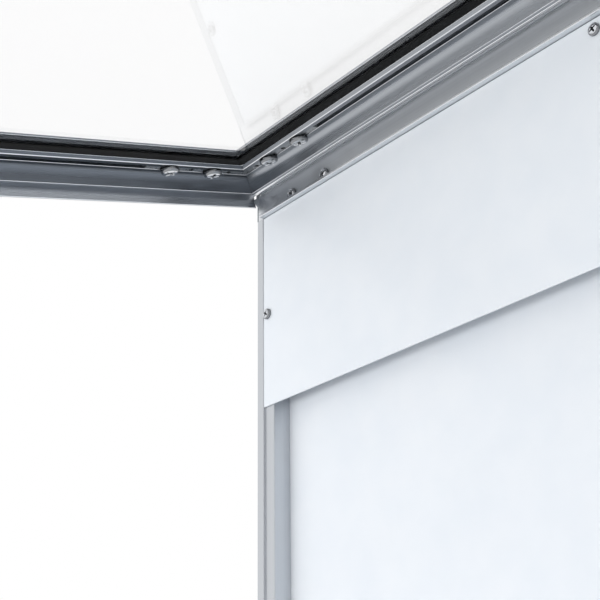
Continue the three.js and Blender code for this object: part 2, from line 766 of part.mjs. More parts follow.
// The pane lies on a foam tape against the front lip, and a rubber gasket holds it from the inside
function makeGlazing() {
  const edge = glassWallAcross + paneEdgeGap;
  const pane = boxBetween(
    [edge, -paneDepth - paneThickness, edge - doorHeight],
    [doorWidth - edge, -paneDepth, -edge],
  );
  place(doorGroup, 'door_pane', pane, glass);

  const gasketStart = glassWallAcross + seatGap;
  const gasketEnd = gasketStart + gasketWidth;
  const gasketFoot = seatGap - paneDepth;
  const gasketSection = outline([
    [gasketStart, gasketFoot],
    [gasketEnd, gasketFoot],
    [gasketEnd, gasketRise - glassWallDrop],
    [gasketStart, -glassWallDrop],
  ]);
  const tapeSection = outline([
    [edge, -tapeFront],
    [lipAcross - tapeSetBack, -tapeFront],
    [lipAcross - tapeSetBack, tapeThickness - tapeFront],
    [edge, tapeThickness - tapeFront],
  ]);
  Object.entries(doorSides).forEach(([name, side]) => {
    const run = side.length - 2 * buttGap;
    const gasket = lengthOf(gasketSection, run, true, true).translate(0, 0, buttGap);
    const tape = lengthOf(tapeSection, run, true, true).translate(0, 0, buttGap);
    place(doorGroup, `glazing_gasket_${name}`, onSide(gasket, side), rubber);
    place(doorGroup, `glazing_tape_${name}`, onSide(tape, side), foamTape);
  });
}

// L cleats in the screw channel join each mitre: a wide foot under its lips and a rib in its mouth
function cleatL(halfWidth, fromDepth, toDepth) {
  const near = slotAcross - halfWidth;
  const far = slotAcross + halfWidth;
  const shape = outline([
    [near, -near],
    [cleatArm, -near],
    [cleatArm, -far],
    [far, -far],
    [far, -cleatArm],
    [near, -cleatArm],
  ]);
  const flat = new THREE.Matrix4().makeBasis(right, up, back.clone().negate());
  return lengthOf(shape, toDepth - fromDepth, false, false).applyMatrix4(flat).translate(0, toDepth, 0);
}

function makeCleats() {
  const footBack = -slotLip - seatGap;
  const foot = cleatL(slotInside / 2 - cleatSideGap, seatGap - slotDepth, footBack);
  const rib = cleatL(slotMouth / 2 - cleatSideGap, footBack - seatGap, -seatGap);
  const spots = [0, 1].flatMap((index) => {
    const reach = cleatScrewFirst + index * cleatScrewSpacing;
    return [[reach, -slotAcross], [slotAcross, -reach]];
  });
  const spareReaches = [cleatScrewFirst - cleatSpareBefore, cleatScrewFirst + cleatScrewSpacing / 2];
  const spareSpots = spareReaches.flatMap((reach) => [[reach, -slotAcross], [slotAcross, -reach]]);
  const hole = (radius) => ([x, z]) => barAlongY(radius, -slotDepth, cutOverrun, x, z, holeSides);
  const spareHoles = spareSpots.map(hole(cleatSpareHole));
  const cleat = cut(join(foot, rib), [...spots.map(hole(cleatScrewShank + shankGap)), ...spareHoles]);
  const screw = panScrew(cleatScrewHead, cleatScrewHeight, cleatScrewShank, slotDepth - 2 * seatGap);
  screw.rotateZ(Math.PI).translate(0, seatGap, 0);
  place(doorGroup, 'corner_cleat_top_left', cleat, steel);
  place(doorGroup, 'corner_cleat_top_right', mirrorX(cleat).translate(doorWidth, 0, 0), steel);
  spots.forEach(([x, z], index) => {
    place(doorGroup, `door_screw_left_${index + 1}`, screw, steel, [x, 0, z]);
    place(doorGroup, `door_screw_right_${index + 1}`, screw, steel, [doorWidth - x, 0, z]);
  });

  // At the lower corners each cleat carries its screws as one piece
  const solidCleat = join(foot, rib, ...spots.map(([x, z]) => screw.clone().translate(x, 0, z)));
  const flipped = mirrorX(cut(solidCleat, spareHoles)).rotateY(Math.PI).translate(0, 0, -doorHeight);
  place(doorGroup, 'corner_cleat_bottom_left', flipped, steel);
  place(doorGroup, 'corner_cleat_bottom_right', mirrorX(flipped).translate(doorWidth, 0, 0), steel);
}

// Cam locks: barrel with a keyed face in front, and a cam behind that swings through a quarter turn
function makeLocks() {
  const front = -doorFront - seatGap;
  const profile = [
    [0, front - lockHeadThickness],
    [lockHeadRadius - lockHeadThickness / 2, front - lockHeadThickness],
    [lockHeadRadius, front - lockHeadThickness / 2],
    [lockHeadRadius, front],
    [lockBarrelRadius, front],
    [lockBarrelRadius, seatGap],
    [lockHubRadius, seatGap],
    [lockHubRadius, camDepth - seatGap],
    [0, camDepth - seatGap],
  ].map(([radius, y]) => new THREE.Vector2(radius, y));
  const barrel = new THREE.LatheGeometry(profile, barSides);
  const face = front - lockHeadThickness;
  const keySlot = boxBetween(
    [-keySlotWidth / 2, face - cutOverrun, -keySlotLength / 2],
    [keySlotWidth / 2, face + keySlotDepth, keySlotLength / 2],
  );
  const lock = cut(barrel, [keySlot]);

  const blade = boxBetween([0, camDepth, -camHalfWidth], [camReach, camDepth + camThickness, camHalfWidth]);
  const hub = barAlongY(camHalfWidth, camDepth, camDepth + camThickness, 0, 0);
  const screwTop = camDepth + camThickness + camScrewRise;
  const screw = barAlongY(camScrewRadius, camDepth + camThickness / 2, screwTop, 0, 0, screwSides);
  const cam = join(blade, hub, screw);
  lockPlaces.forEach(({ name, x }) => {
    place(doorGroup, `lock_body_${name}`, lock, castZinc, [x, 0, lockLevel]);
    const turned = name === 'left' ? cam : mirrorX(cam);
    place(doorGroup, `lock_cam_${name}`, turned, steel, [x, 0, lockLevel]);
  });
}

// Gas struts. Both lengths and angles come from the pivots, with the door shut and at its open rest
const strutFootPoint = new THREE.Vector2(strutCaseDepth, hingeHeight - strutCaseDrop);
const doorPivotLocal = new THREE.Vector2(strutDoorDepth - hingeDepth, -strutDoorReach);

function doorPivotAt(angle) {
  const { x, y } = doorPivotLocal;
  const depth = x * Math.cos(angle) + y * Math.sin(angle);
  const height = y * Math.cos(angle) - x * Math.sin(angle);
  return new THREE.Vector2(depth - hingeForward, height + hingeHeight);
}

const strutShut = doorPivotAt(0).sub(strutFootPoint);
const strutOpen = doorPivotAt(openAngle).sub(strutFootPoint);
const strutLean = Math.atan2(-strutOpen.x, strutOpen.y);
const strutTubeEnd = strutShut.length() - strutFoot - strutShutRod;

function strutTube() {
  const bore = strutTubeRadius - strutTubeWall;
  const profile = [
    [0, strutFoot],
    [strutTubeRadius, strutFoot],
    [strutTubeRadius, strutTubeEnd],
    [strutRodRadius + strutRodGap, strutTubeEnd],
    [strutRodRadius + strutRodGap, strutTubeEnd - strutGuide],
    [bore, strutTubeEnd - strutGuide],
    [bore, strutFoot + strutTubeWall],
    [0, strutFoot + strutTubeWall],
  ].map(([radius, y]) => new THREE.Vector2(radius, y));
  return new THREE.LatheGeometry(profile, barSides).rotateX(Math.PI / 2);
}

function strutRod(extension) {
  const heldEnd = strutTubeEnd - strutHeldRod - extension;
  const piston = strutTubeRadius - strutTubeWall - strutPistonGap;
  const profile = [
    [0, heldEnd],
    [piston, heldEnd],
    [piston, heldEnd + strutPistonHeight],
    [strutRodRadius, heldEnd + strutPistonHeight],
    [strutRodRadius, -strutFoot],
    [eyeNeckRadius, -strutFoot],
    [eyeNeckRadius, 0],
    [0, 0],
  ].map(([radius, y]) => new THREE.Vector2(radius, y));
  return new THREE.LatheGeometry(profile, barSides).rotateX(Math.PI / 2);
}

function makeStruts() {
  const eye = barAlongX(eyeRadius, -eyeWidth / 2, eyeWidth / 2, 0, 0);
  const eyeBore = barAlongX(pivotRadius + shankGap, -eyeWidth, eyeWidth, 0, 0);
  const neckLength = strutFoot + strutTubeWall / 2;
  const neck = new THREE.CylinderGeometry(eyeNeckRadius, eyeNeckRadius, neckLength, barSides);
  neck.rotateX(Math.PI / 2).translate(0, 0, neckLength / 2);
  const tube = cut(join(strutTube(), neck, eye), [eyeBore]);
  const rod = join(strutRod(strutOpen.length()), eye);

  // Plate and pivot pin on the case stile, and plate and stub on the door stile
  const plateX = innerWall + buttGap;
  const eyeNear = strutAcross - eyeWidth / 2;
  const eyeFar = strutAcross + eyeWidth / 2;
  const plateFront = rimStep + caseWall;
  const plate = boxBetween(
    [plateX, plateFront, -plateLength / 2],
    [plateX + plateThickness, panelDepth - caseWall, plateLength / 2],
  );
  const pinEnd = eyeFar + pivotFaceGap + pivotHeadThickness;
  const pin = barAlongX(pivotRadius, plateX + plateThickness / 2, pinEnd, strutCaseDepth, 0);
  const pinHead = barAlongX(pivotHeadRadius, eyeFar + pivotFaceGap, pinEnd, strutCaseDepth, 0);
  const caseBracket = join(plate, pin, pinHead);

  const standX = glassWallAcross - plateThickness;
  const foot = boxBetween(
    [slotAcross - slotMouth, seatGap, -plateLength / 2],
    [standX + plateThickness, seatGap + plateThickness, plateLength / 2],
  );
  const stand = boxBetween(
    [standX, seatGap, -plateLength / 4],
    [standX + plateThickness, strutDoorDepth + eyeRadius, plateLength / 4],
  );
  const stubEnd = eyeNear + doorOverlap - pivotFaceGap;
  const stub = barAlongX(pivotRadius, standX + plateThickness / 2, stubEnd, strutDoorDepth, 0);
  const doorBracket = join(foot, stand, stub);

  ends.forEach(({ name, sign, edge }) => {
    const strut = new THREE.Group();
    strut.position.set(edge + sign * strutAcross, strutCaseDepth, strutFootPoint.y);
    strut.rotation.x = strutLean;
    caseGroup.add(strut);
    place(strut, `strut_tube_${name}`, tube, darkSteel);
    place(strut, `strut_rod_${name}`, rod, steel, [0, 0, strutOpen.length()]);
    const isLeft = sign > 0;
    const onCase = isLeft ? caseBracket : mirrorX(caseBracket);
    const onDoor = isLeft ? doorBracket : mirrorX(doorBracket);
    const doorX = isLeft ? 0 : doorWidth;
    place(caseGroup, `strut_case_bracket_${name}`, onCase, steel, [edge, 0, strutFootPoint.y]);
    place(doorGroup, `strut_door_bracket_${name}`, onDoor, steel, [doorX, 0, -hingeAcross - strutDoorReach]);
  });
}

makeCaseFrame();
makeTopRail();
makeCaseBrackets();
makeSheets();
makeCaseScrews();
makeStrikes();
makeDoorRails();
makeGlazing();
makeCleats();
makeLocks();
makeStruts();

export default board;
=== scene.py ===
# %% [markdown]
# # A lockable notice board with its door propped open
#
# The board is a shallow case of extruded aluminium round a white steel sheet. A glazed door hangs from the
# case's top rail and two gas struts hold it up. The solid model is already made, so this lesson dresses it:
# each extrusion is drawn again as a profile carried along its rail, with the small edge radii that a die
# leaves, and every finish is built from nodes. We begin by loading the solids as a fixed frame.

# %% Load the solid model
import math

import bmesh
import bpy
import numpy as np
from mathutils import Matrix, Vector


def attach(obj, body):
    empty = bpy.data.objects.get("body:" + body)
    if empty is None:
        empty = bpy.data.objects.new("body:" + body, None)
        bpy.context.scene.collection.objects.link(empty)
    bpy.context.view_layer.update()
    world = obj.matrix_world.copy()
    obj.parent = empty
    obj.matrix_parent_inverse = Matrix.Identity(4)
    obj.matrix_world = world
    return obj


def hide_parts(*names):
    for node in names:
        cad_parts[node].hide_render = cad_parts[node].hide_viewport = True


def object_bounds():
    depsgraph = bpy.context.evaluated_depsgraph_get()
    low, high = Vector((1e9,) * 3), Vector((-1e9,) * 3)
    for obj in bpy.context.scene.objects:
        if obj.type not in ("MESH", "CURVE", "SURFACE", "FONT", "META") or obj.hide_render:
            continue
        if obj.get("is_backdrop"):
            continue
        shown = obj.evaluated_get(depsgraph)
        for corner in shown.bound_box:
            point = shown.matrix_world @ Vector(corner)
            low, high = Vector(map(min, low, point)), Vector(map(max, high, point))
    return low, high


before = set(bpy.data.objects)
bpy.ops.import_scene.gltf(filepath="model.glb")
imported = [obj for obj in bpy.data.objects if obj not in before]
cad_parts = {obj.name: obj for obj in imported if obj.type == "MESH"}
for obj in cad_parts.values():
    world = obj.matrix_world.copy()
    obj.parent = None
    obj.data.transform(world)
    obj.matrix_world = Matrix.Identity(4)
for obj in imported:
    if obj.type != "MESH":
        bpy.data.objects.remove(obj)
cad_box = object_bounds()

# %% [markdown]
# ## Three frames
#
# A joiner measures a case from its own corner and a door from the door's corner. We do the same, in
# millimetres, and let two functions take such points to the part's frame in metres. The door's function
# also turns its points about the hinge, because the model rests with its door open.

# %% Frames and directions
CASE_WIDTH, CASE_DEPTH, CASE_DROP = 800.0, 22.0, 1058.0
ZERO_LEVEL = -3.5
HINGE = np.array([0.0, -2.0, 19.2])
HINGE_IN_DOOR = np.array([5.2, 7.4, -3.0])
DOOR_WIDTH, DOOR_HEIGHT = 810.4, 1085.4
OPEN_DEGREES = 77
X, Y, Z = np.eye(3)
MM = 0.001


def case_to_part(points):
    """Moves the case's corner to its place beside the part's origin, and turns millimetres to metres."""
    return (points + [-CASE_WIDTH / 2, -CASE_DEPTH, ZERO_LEVEL]) / 1000


def door_to_part(points):
    """Takes the hinge to zero, turns by minus the open angle about X, and puts the hinge in the case."""
    x, y, z = (points - HINGE_IN_DOOR).T
    cosine, sine = math.cos(math.radians(OPEN_DEGREES)), math.sin(math.radians(OPEN_DEGREES))
    turned = np.stack([x, y * cosine + z * sine, z * cosine - y * sine], axis=1)
    return case_to_part(turned + HINGE)


def sides_of(width, height):
    """The four sides of a frame: start corner, across direction, along direction, length."""
    return {
        "top": ([0, 0, 0], -Z, X, width),
        "right": ([width, 0, 0], -X, -Z, height),
        "bottom": ([width, 0, -height], Z, -X, width),
        "left": ([0, 0, -height], X, Z, height),
    }


# %% [markdown]
# ## Colours and nodes
#
# Paint charts and photographs give colours as sRGB hex values, while the renderer works in linear light.
# One function converts them. A second small function adds any node, with its settings and its links. A Mix
# node has one set of sockets for numbers and one for colours under the same names, so they go by number.

# %% Colour and node helpers
FACTOR, NUMBER_A, NUMBER_B, NUMBER_OUT = 0, 2, 3, 0
COLOUR_A, COLOUR_B, COLOUR_OUT = 6, 7, 2
RAMP_FROM, RAMP_TO = 0.3, 0.7


def linear(hex_value, alpha=1.0):
    """sRGB to linear: c / 12.92 below 0.04045, else ((c + 0.055) / 1.055) to the power 2.4."""
    c = np.array([int(hex_value[i:i + 2], 16) for i in (1, 3, 5)]) / 255
    c = np.where(c <= 0.04045, c / 12.92, ((c + 0.055) / 1.055) ** 2.4)
    return (*c.tolist(), alpha)


def add_node(tree, kind, sockets=None, **settings):
    """Adds a node. A socket's value is either a plain value or another node's output, which is linked."""
    made = tree.nodes.new(kind)
    for name, value in settings.items():
        setattr(made, name, value)
    for name, value in (sockets or {}).items():
        if isinstance(value, bpy.types.NodeSocket):
            tree.links.new(value, made.inputs[name])
        else:
            made.inputs[name].default_value = value
    return made


def new_material(name):
    """An empty node material with its output, ready for a shader."""
    material = bpy.data.materials.new(name)
    material.use_nodes = True
    material.node_tree.nodes.clear()
    return material, material.node_tree, material.node_tree.nodes.new("ShaderNodeOutputMaterial")


def shade_ramp(tree, factor, low, high):
    """A colour that runs from one hex value to another over the middle of a noise's range."""
    ramp = add_node(tree, "ShaderNodeValToRGB", {"Fac": factor})
    first, last = ramp.color_ramp.elements
    first.position, last.position = RAMP_FROM, RAMP_TO
    first.color, last.color = linear(low), linear(high)
    return ramp.outputs["Color"]


def spread(tree, factor, low, high):
    """A number that runs from low to high over the middle of a noise's range."""
    sockets = {"Value": factor, "From Min": RAMP_FROM, "From Max": RAMP_TO, "To Min": low, "To Max": high}
    return add_node(tree, "ShaderNodeMapRange", sockets).outputs["Result"]


# %% [markdown]
# ## Anodised extrusion
#
# Aluminium pushed through a die keeps faint straight lines along its whole length. Etching and anodising
# then dull it to a satin that is fine-grained up close. Each extruded piece has a UV map in metres, along
# and around its profile, so one noise stretched along the piece draws the die lines wherever it turns.
# The lines of a real die are about 0.1 mm apart; here they are 0.5 mm so that the render can show them.
# A highlight spreads across such lines and stays narrow along them, so the metal is anisotropic.
#
# Rounded edges are given a painted highlight: a face attribute marks them, and they come out paler and
# glossier. A real board has one anodising throughout, but the metal of the door reflects this white studio
# more than it would a room, so its stiles and rails have darker tones of their own, painted shade, the stiles
# darker than the rails. The case's top rail has a paler tone than its stiles, painted light. The walls of the
# door's bay see little but one another, and an attribute marks them for a paler tone, painted light in their
# shade.

# %% Anodised aluminium
ANODISED = {
    # name: (low, high, smooth, rough)
    "anodised_silver": ("#c6cacf", "#cfd2d6", 0.30, 0.38),
    # The top rail's paler tone is painted light on the same anodising as the stiles.
    "anodised_rail_painted_light": ("#dadde1", "#e1e4e7", 0.30, 0.38),
    # The door's two tones are painted shade on one anodising, with the stiles darker than the rails.
    "anodised_shaded_door_stile": ("#70757c", "#7a7f86", 0.26, 0.34),
    "anodised_shaded_door_rail": ("#a4a8ae", "#aeb2b7", 0.26, 0.34),
}
# Painted light: a paler tone on rounded edges as a painted highlight, and a paler tone in the door's bay.
EDGE_HIGHLIGHT_TONE, EDGE_HIGHLIGHT_ROUGHNESS, PAINTED_BAY_LIGHT_TONE = "#e9ebee", 0.16, "#b4b8be"
LINE_SPACING, LINE_LENGTH, ETCHED_GRAIN, LINE_DEPTH = 0.5 * MM, 0.4, 0.35 * MM, 0.02 * MM


def anodised(name, low, high, smooth, rough):
    """Metal with lengthwise die lines that shift its colour, roughness and height a little."""
    material, tree, out = new_material(name)
    uv = add_node(tree, "ShaderNodeTexCoord").outputs["UV"]
    stretched = add_node(tree, "ShaderNodeMapping", {
        "Vector": uv, "Scale": (1 / LINE_LENGTH, 1 / LINE_SPACING, 1)})
    lines = add_node(tree, "ShaderNodeTexNoise", {
        "Vector": stretched.outputs["Vector"], "Scale": 1.0, "Detail": 2.0, "Roughness": 0.6})
    etched = add_node(tree, "ShaderNodeTexNoise", {"Vector": uv, "Scale": 1 / ETCHED_GRAIN, "Detail": 1.0})
    line_bump = add_node(tree, "ShaderNodeBump", {
        "Height": lines.outputs["Fac"], "Strength": 0.25, "Distance": LINE_DEPTH})
    both = add_node(tree, "ShaderNodeBump", {
        "Height": etched.outputs["Fac"], "Strength": 0.12, "Distance": LINE_DEPTH,
        "Normal": line_bump.outputs["Normal"]})
    # Rounded edges are painted paler, a painted highlight, and are also made glossier.
    painted_edge_highlight = add_node(tree, "ShaderNodeAttribute", attribute_name="painted_edge_highlight").outputs["Fac"]
    painted_bay_light = add_node(tree, "ShaderNodeAttribute", attribute_name="painted_bay_light").outputs["Fac"]
    # Faces in the door's bay take a paler tone: painted light in their shade.
    plain = add_node(tree, "ShaderNodeMix", {
        FACTOR: painted_bay_light, COLOUR_A: shade_ramp(tree, lines.outputs["Fac"], low, high),
        COLOUR_B: linear(PAINTED_BAY_LIGHT_TONE)}, data_type="RGBA")
    tone = add_node(tree, "ShaderNodeMix", {
        FACTOR: painted_edge_highlight, COLOUR_A: plain.outputs[COLOUR_OUT], COLOUR_B: linear(EDGE_HIGHLIGHT_TONE)},
        data_type="RGBA")
    gloss = add_node(tree, "ShaderNodeMix", {
        FACTOR: painted_edge_highlight, NUMBER_A: spread(tree, lines.outputs["Fac"], smooth, rough),
        NUMBER_B: EDGE_HIGHLIGHT_ROUGHNESS})
    shader = add_node(tree, "ShaderNodeBsdfPrincipled", {
        "Base Color": tone.outputs[COLOUR_OUT], "Metallic": 1.0, "Roughness": gloss.outputs[NUMBER_OUT],
        "Anisotropic": 0.7, "Anisotropic Rotation": 0.25, "Normal": both.outputs["Normal"]})
    tree.links.new(shader.outputs["BSDF"], out.inputs["Surface"])
    return material


finishes = {name: anodised(name, *values) for name, values in ANODISED.items()}
print("anodised finishes:", len(finishes))

# %% [markdown]
# ## Grained finishes
#
# The other finishes are all even in every direction, so they read Object coordinates: zinc with its cloudy
# passivation, bright chrome, enamelled sheet with a slight orange peel, black rubber, foam, moulded caps.
# They differ only in colour, gloss, the size of their grain and its height, so one table holds them.
# Rubber throws back less light than a paint or a plastic does, so its specular level is lower. A point
# attribute darkens a screw's recess, a ring at its rim and its side with painted shade.

# %% Table of grained finishes
GRAINED = {
    # name: (low, high, metallic, smooth, rough, grain in mm, grain height in mm, strength, specular)
    "zinc_plated_steel": ("#a9adb4", "#c3c5c6", 1.0, 0.22, 0.42, 1.6, 0.01, 0.20, 0.5),
    "bright_chrome": ("#d4d7dc", "#dfe1e4", 1.0, 0.06, 0.13, 0.8, 0.004, 0.10, 0.5),
    "hard_chrome_rod": ("#c9ccd1", "#d6d8dc", 1.0, 0.10, 0.18, 0.5, 0.003, 0.10, 0.5),
    "nickel_casting": ("#a7aab0", "#b7b9bd", 1.0, 0.20, 0.32, 0.7, 0.01, 0.20, 0.5),
    "white_enamel": ("#e9eef3", "#edf1f5", 0.0, 0.30, 0.38, 1.1, 0.012, 0.18, 0.5),
    "black_rubber": ("#060708", "#0b0c0d", 0.0, 0.58, 0.74, 0.5, 0.02, 0.35, 0.2),
    "grey_foam": ("#3c3f44", "#4c5056", 0.0, 0.85, 0.98, 0.6, 0.10, 0.60, 0.5),
    "grey_moulding": ("#858b92", "#90969c", 0.0, 0.45, 0.60, 0.3, 0.02, 0.40, 0.5),
    "black_enamel": ("#131416", "#1b1c1f", 0.0, 0.25, 0.36, 0.9, 0.012, 0.20, 0.5),
}
PAINTED_SHADE_TONE, CLOUD_SIZE = "#17191c", 25 * MM


def grained(name, low, high, metallic, smooth, rough, grain, height, strength, specular):
    """An even finish: a noise of the grain's size drives roughness and bump, a wide one the colour."""
    material, tree, out = new_material(name)
    place = add_node(tree, "ShaderNodeTexCoord").outputs["Object"]
    noise = add_node(tree, "ShaderNodeTexNoise", {
        "Vector": place, "Scale": 1 / (grain * MM), "Detail": 3.0, "Roughness": 0.55})
    cloud = add_node(tree, "ShaderNodeTexNoise", {"Vector": place, "Scale": 1 / CLOUD_SIZE, "Detail": 2.0})
    bump = add_node(tree, "ShaderNodeBump", {
        "Height": noise.outputs["Fac"], "Strength": strength, "Distance": height * MM})
    # A point attribute darkens the colour: painted shade in screw recesses and round their rims.
    painted_screw_shade = add_node(tree, "ShaderNodeAttribute", attribute_name="painted_screw_shade").outputs["Fac"]
    tone = add_node(tree, "ShaderNodeMix", {
        FACTOR: painted_screw_shade, COLOUR_A: shade_ramp(tree, cloud.outputs["Fac"], low, high),
        COLOUR_B: linear(PAINTED_SHADE_TONE)}, data_type="RGBA")
    shader = add_node(tree, "ShaderNodeBsdfPrincipled", {
        "Base Color": tone.outputs[COLOUR_OUT], "Metallic": metallic, "Specular IOR Level": specular,
        "Roughness": spread(tree, noise.outputs["Fac"], smooth, rough), "Normal": bump.outputs["Normal"]})
    tree.links.new(shader.outputs["BSDF"], out.inputs["Surface"])
    return material


finishes.update({name: grained(name, *values) for name, values in GRAINED.items()})
print("finishes:", len(finishes))

# %% [markdown]
# ## Toughened glass
#
# Float glass bends light with an index of 1.52. Its green shows only through a long way of glass, so the
# body stays white. A path tracer finds lamps through glass only by luck, so for shadow rays the pane is
# plain transparent and the light comes through, with just a breath of the green.

# %% Glass
SMEAR_SIZE, CLEAR, SMEARED = 60 * MM, 0.0, 0.03
pane_glass, glass_tree, glass_out = new_material("toughened_glass")
glass_place = add_node(glass_tree, "ShaderNodeTexCoord").outputs["Object"]
smear = add_node(glass_tree, "ShaderNodeTexNoise", {
    "Vector": glass_place, "Scale": 1 / SMEAR_SIZE, "Detail": 2.0, "Distortion": 1.5})
glass_body = add_node(glass_tree, "ShaderNodeBsdfPrincipled", {
    "Base Color": linear("#ffffff"), "IOR": 1.52, "Transmission Weight": 1.0,
    "Roughness": spread(glass_tree, smear.outputs["Fac"], CLEAR, SMEARED)})
glass_clear = add_node(glass_tree, "ShaderNodeBsdfTransparent", {"Color": linear("#fbfdfc")})
glass_ray = add_node(glass_tree, "ShaderNodeLightPath")
glass_mix = add_node(glass_tree, "ShaderNodeMixShader", {
    0: glass_ray.outputs["Is Shadow Ray"], 1: glass_body.outputs["BSDF"], 2: glass_clear.outputs["BSDF"]})
glass_tree.links.new(glass_mix.outputs["Shader"], glass_out.inputs["Surface"])
finishes["toughened_glass"] = pane_glass
print("finishes with glass:", len(finishes))

# %% [markdown]
# ## Outlines with eased corners
#
# A die can't cut a perfectly sharp corner, and the eye knows metal by the thin highlights on its rounded
# edges. An outline is therefore a list of corners, each with how far it is cut back before and after the
# corner, and a quadratic curve replaces what is cut away. Long cut-backs give coves, short ones edges.
# A small edge is told from a cove later by its faces, which are narrower than the step for the painted
# highlight.

# %% Outline functions
# In millimetres: the usual cut-back, one too small to see, the widest face of a small edge that gets the
# painted highlight, no step at all.
EDGE, CRISP, EDGE_HIGHLIGHT_STEP, NO_STEP = 0.3, 0.02, 0.16, 1e-4
CURVE_POINTS = 6
TINY = 1e-9


def outline(corners):
    """A corner is (x, y), (x, y, both cut-backs) or (x, y, cut-back before, cut-back after). It becomes the
    curve (1-t)^2 start + 2t(1-t) corner + t^2 end. The points come back anticlockwise."""
    rows = np.array([(*c, EDGE, EDGE)[:4] if len(c) == 2 else (*c, c[2])[:4] for c in corners], float)
    p, before, after = rows[:, :2], rows[:, 2:3], rows[:, 3:4]
    back_way, on_way = np.roll(p, 1, axis=0) - p, np.roll(p, -1, axis=0) - p
    start = p + back_way / np.linalg.norm(back_way, axis=1, keepdims=True) * before
    end = p + on_way / np.linalg.norm(on_way, axis=1, keepdims=True) * after
    t = np.linspace(0, 1, CURVE_POINTS)[None, :, None]
    curve = (1 - t) ** 2 * start[:, None] + 2 * t * (1 - t) * p[:, None] + t ** 2 * end[:, None]
    points = curve.reshape(-1, 2)
    points = points[np.linalg.norm(points - np.roll(points, 1, axis=0), axis=1) > NO_STEP]
    x, y = points.T
    area = np.sum(x * np.roll(y, -1) - np.roll(x, -1) * y)
    return points if area > 0 else points[::-1]


def arc_corners(centre, radius, first, last, count):
    """Corners along an arc, each cut back by almost half a step so that the curve runs on smoothly."""
    turn = np.radians(np.linspace(first, last, count))
    almost_half = 0.46
    cut = almost_half * 2 * radius * abs(math.sin(math.radians(last - first) / (count - 1) / 2))
    return [(centre[0] + radius * math.cos(a), centre[1] + radius * math.sin(a), cut) for a in turn]


def edge_normals(points, closed=True, sharp=40):
    """Outward normals at both ends of each edge. A corner's normal is the mean of its edges' weighted by
    length, so a flat stays flat beside its rounded edge, and corners past the sharp angle stay split."""
    step = np.roll(points, -1, axis=0) - points
    length = np.linalg.norm(step, axis=1, keepdims=True)
    normal = np.stack([step[:, 1], -step[:, 0]], axis=1) / np.maximum(length, TINY)
    last_normal, last_length = np.roll(normal, 1, axis=0), np.roll(length, 1, axis=0)
    mean = normal * length + last_normal * last_length
    mean /= np.maximum(np.linalg.norm(mean, axis=1, keepdims=True), TINY)
    split = np.sum(normal * last_normal, axis=1) < math.cos(math.radians(sharp))
    if not closed:
        split[0] = True
    at_start = np.where(split[:, None], normal, mean)
    at_end = np.roll(np.where(split[:, None], last_normal, mean), -1, axis=0)
    return at_start, at_end


# %% [markdown]
# ## Putting arrays into a mesh
#
# Every new piece ends in the same few lines: vertices and faces go in, each face corner gets its own
# normal and UV, and the piece is told which body carries it, whose finish it takes and what it replaces.

# %% Mesh and piece functions
SAME_POINT, SHARP_ANGLE = 1e-7, math.radians(35)
made_pieces = []


def new_piece(name, verts, faces, finish, body, nodes, normals=None, uv=None):
    """Builds the object from arrays in metres, at the origin, and hands it to the frame."""
    mesh = bpy.data.meshes.new(name)
    mesh.from_pydata(np.asarray(verts).tolist(), [], faces)
    if uv is not None:
        mesh.uv_layers.new(name="UVMap").data.foreach_set("uv", np.asarray(uv, np.float32).ravel())
    mesh.shade_smooth()
    if normals is not None:
        mesh.normals_split_custom_set(np.asarray(normals).tolist())
    return adopt(mesh, name, finish, body, nodes)


def adopt(mesh, name, finish, body, nodes):
    """Gives a mesh its object, finish, body and the solids that it stands for."""
    piece = bpy.data.objects.new(name, mesh)
    bpy.context.scene.collection.objects.link(piece)
    mesh.materials.clear()
    mesh.materials.append(finishes[finish])
    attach(piece, body)
    if nodes:
        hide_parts(*nodes)
    made_pieces.append(name)
    return piece


def mark(piece, name, domain, values):
    """Writes a number for every face or point under a name that a material can read."""
    attribute = piece.data.attributes.new(name, "FLOAT", domain)
    attribute.data.foreach_set("value", np.ravel(values).astype(np.float32))


def directions_to_part(directions, to_part):
    """A direction turns as a point does, but it isn't moved or scaled."""
    return (to_part(directions) - to_part(np.zeros((1, 3)))) * 1000


def square_to(axis):
    """Two unit directions that are square to an axis and to each other."""
    u = np.cross(axis, X if abs(axis[0]) < 0.9 else Y)
    u /= np.linalg.norm(u)
    return u, np.cross(axis, u)


# %% [markdown]
# ## Extrusions
#
# An extrusion is one outline pushed along a straight line, so it is made in just that way. A mitre only
# moves each point of the outline along the rail, by its own distance from the outer edge.

# %% Sweep function


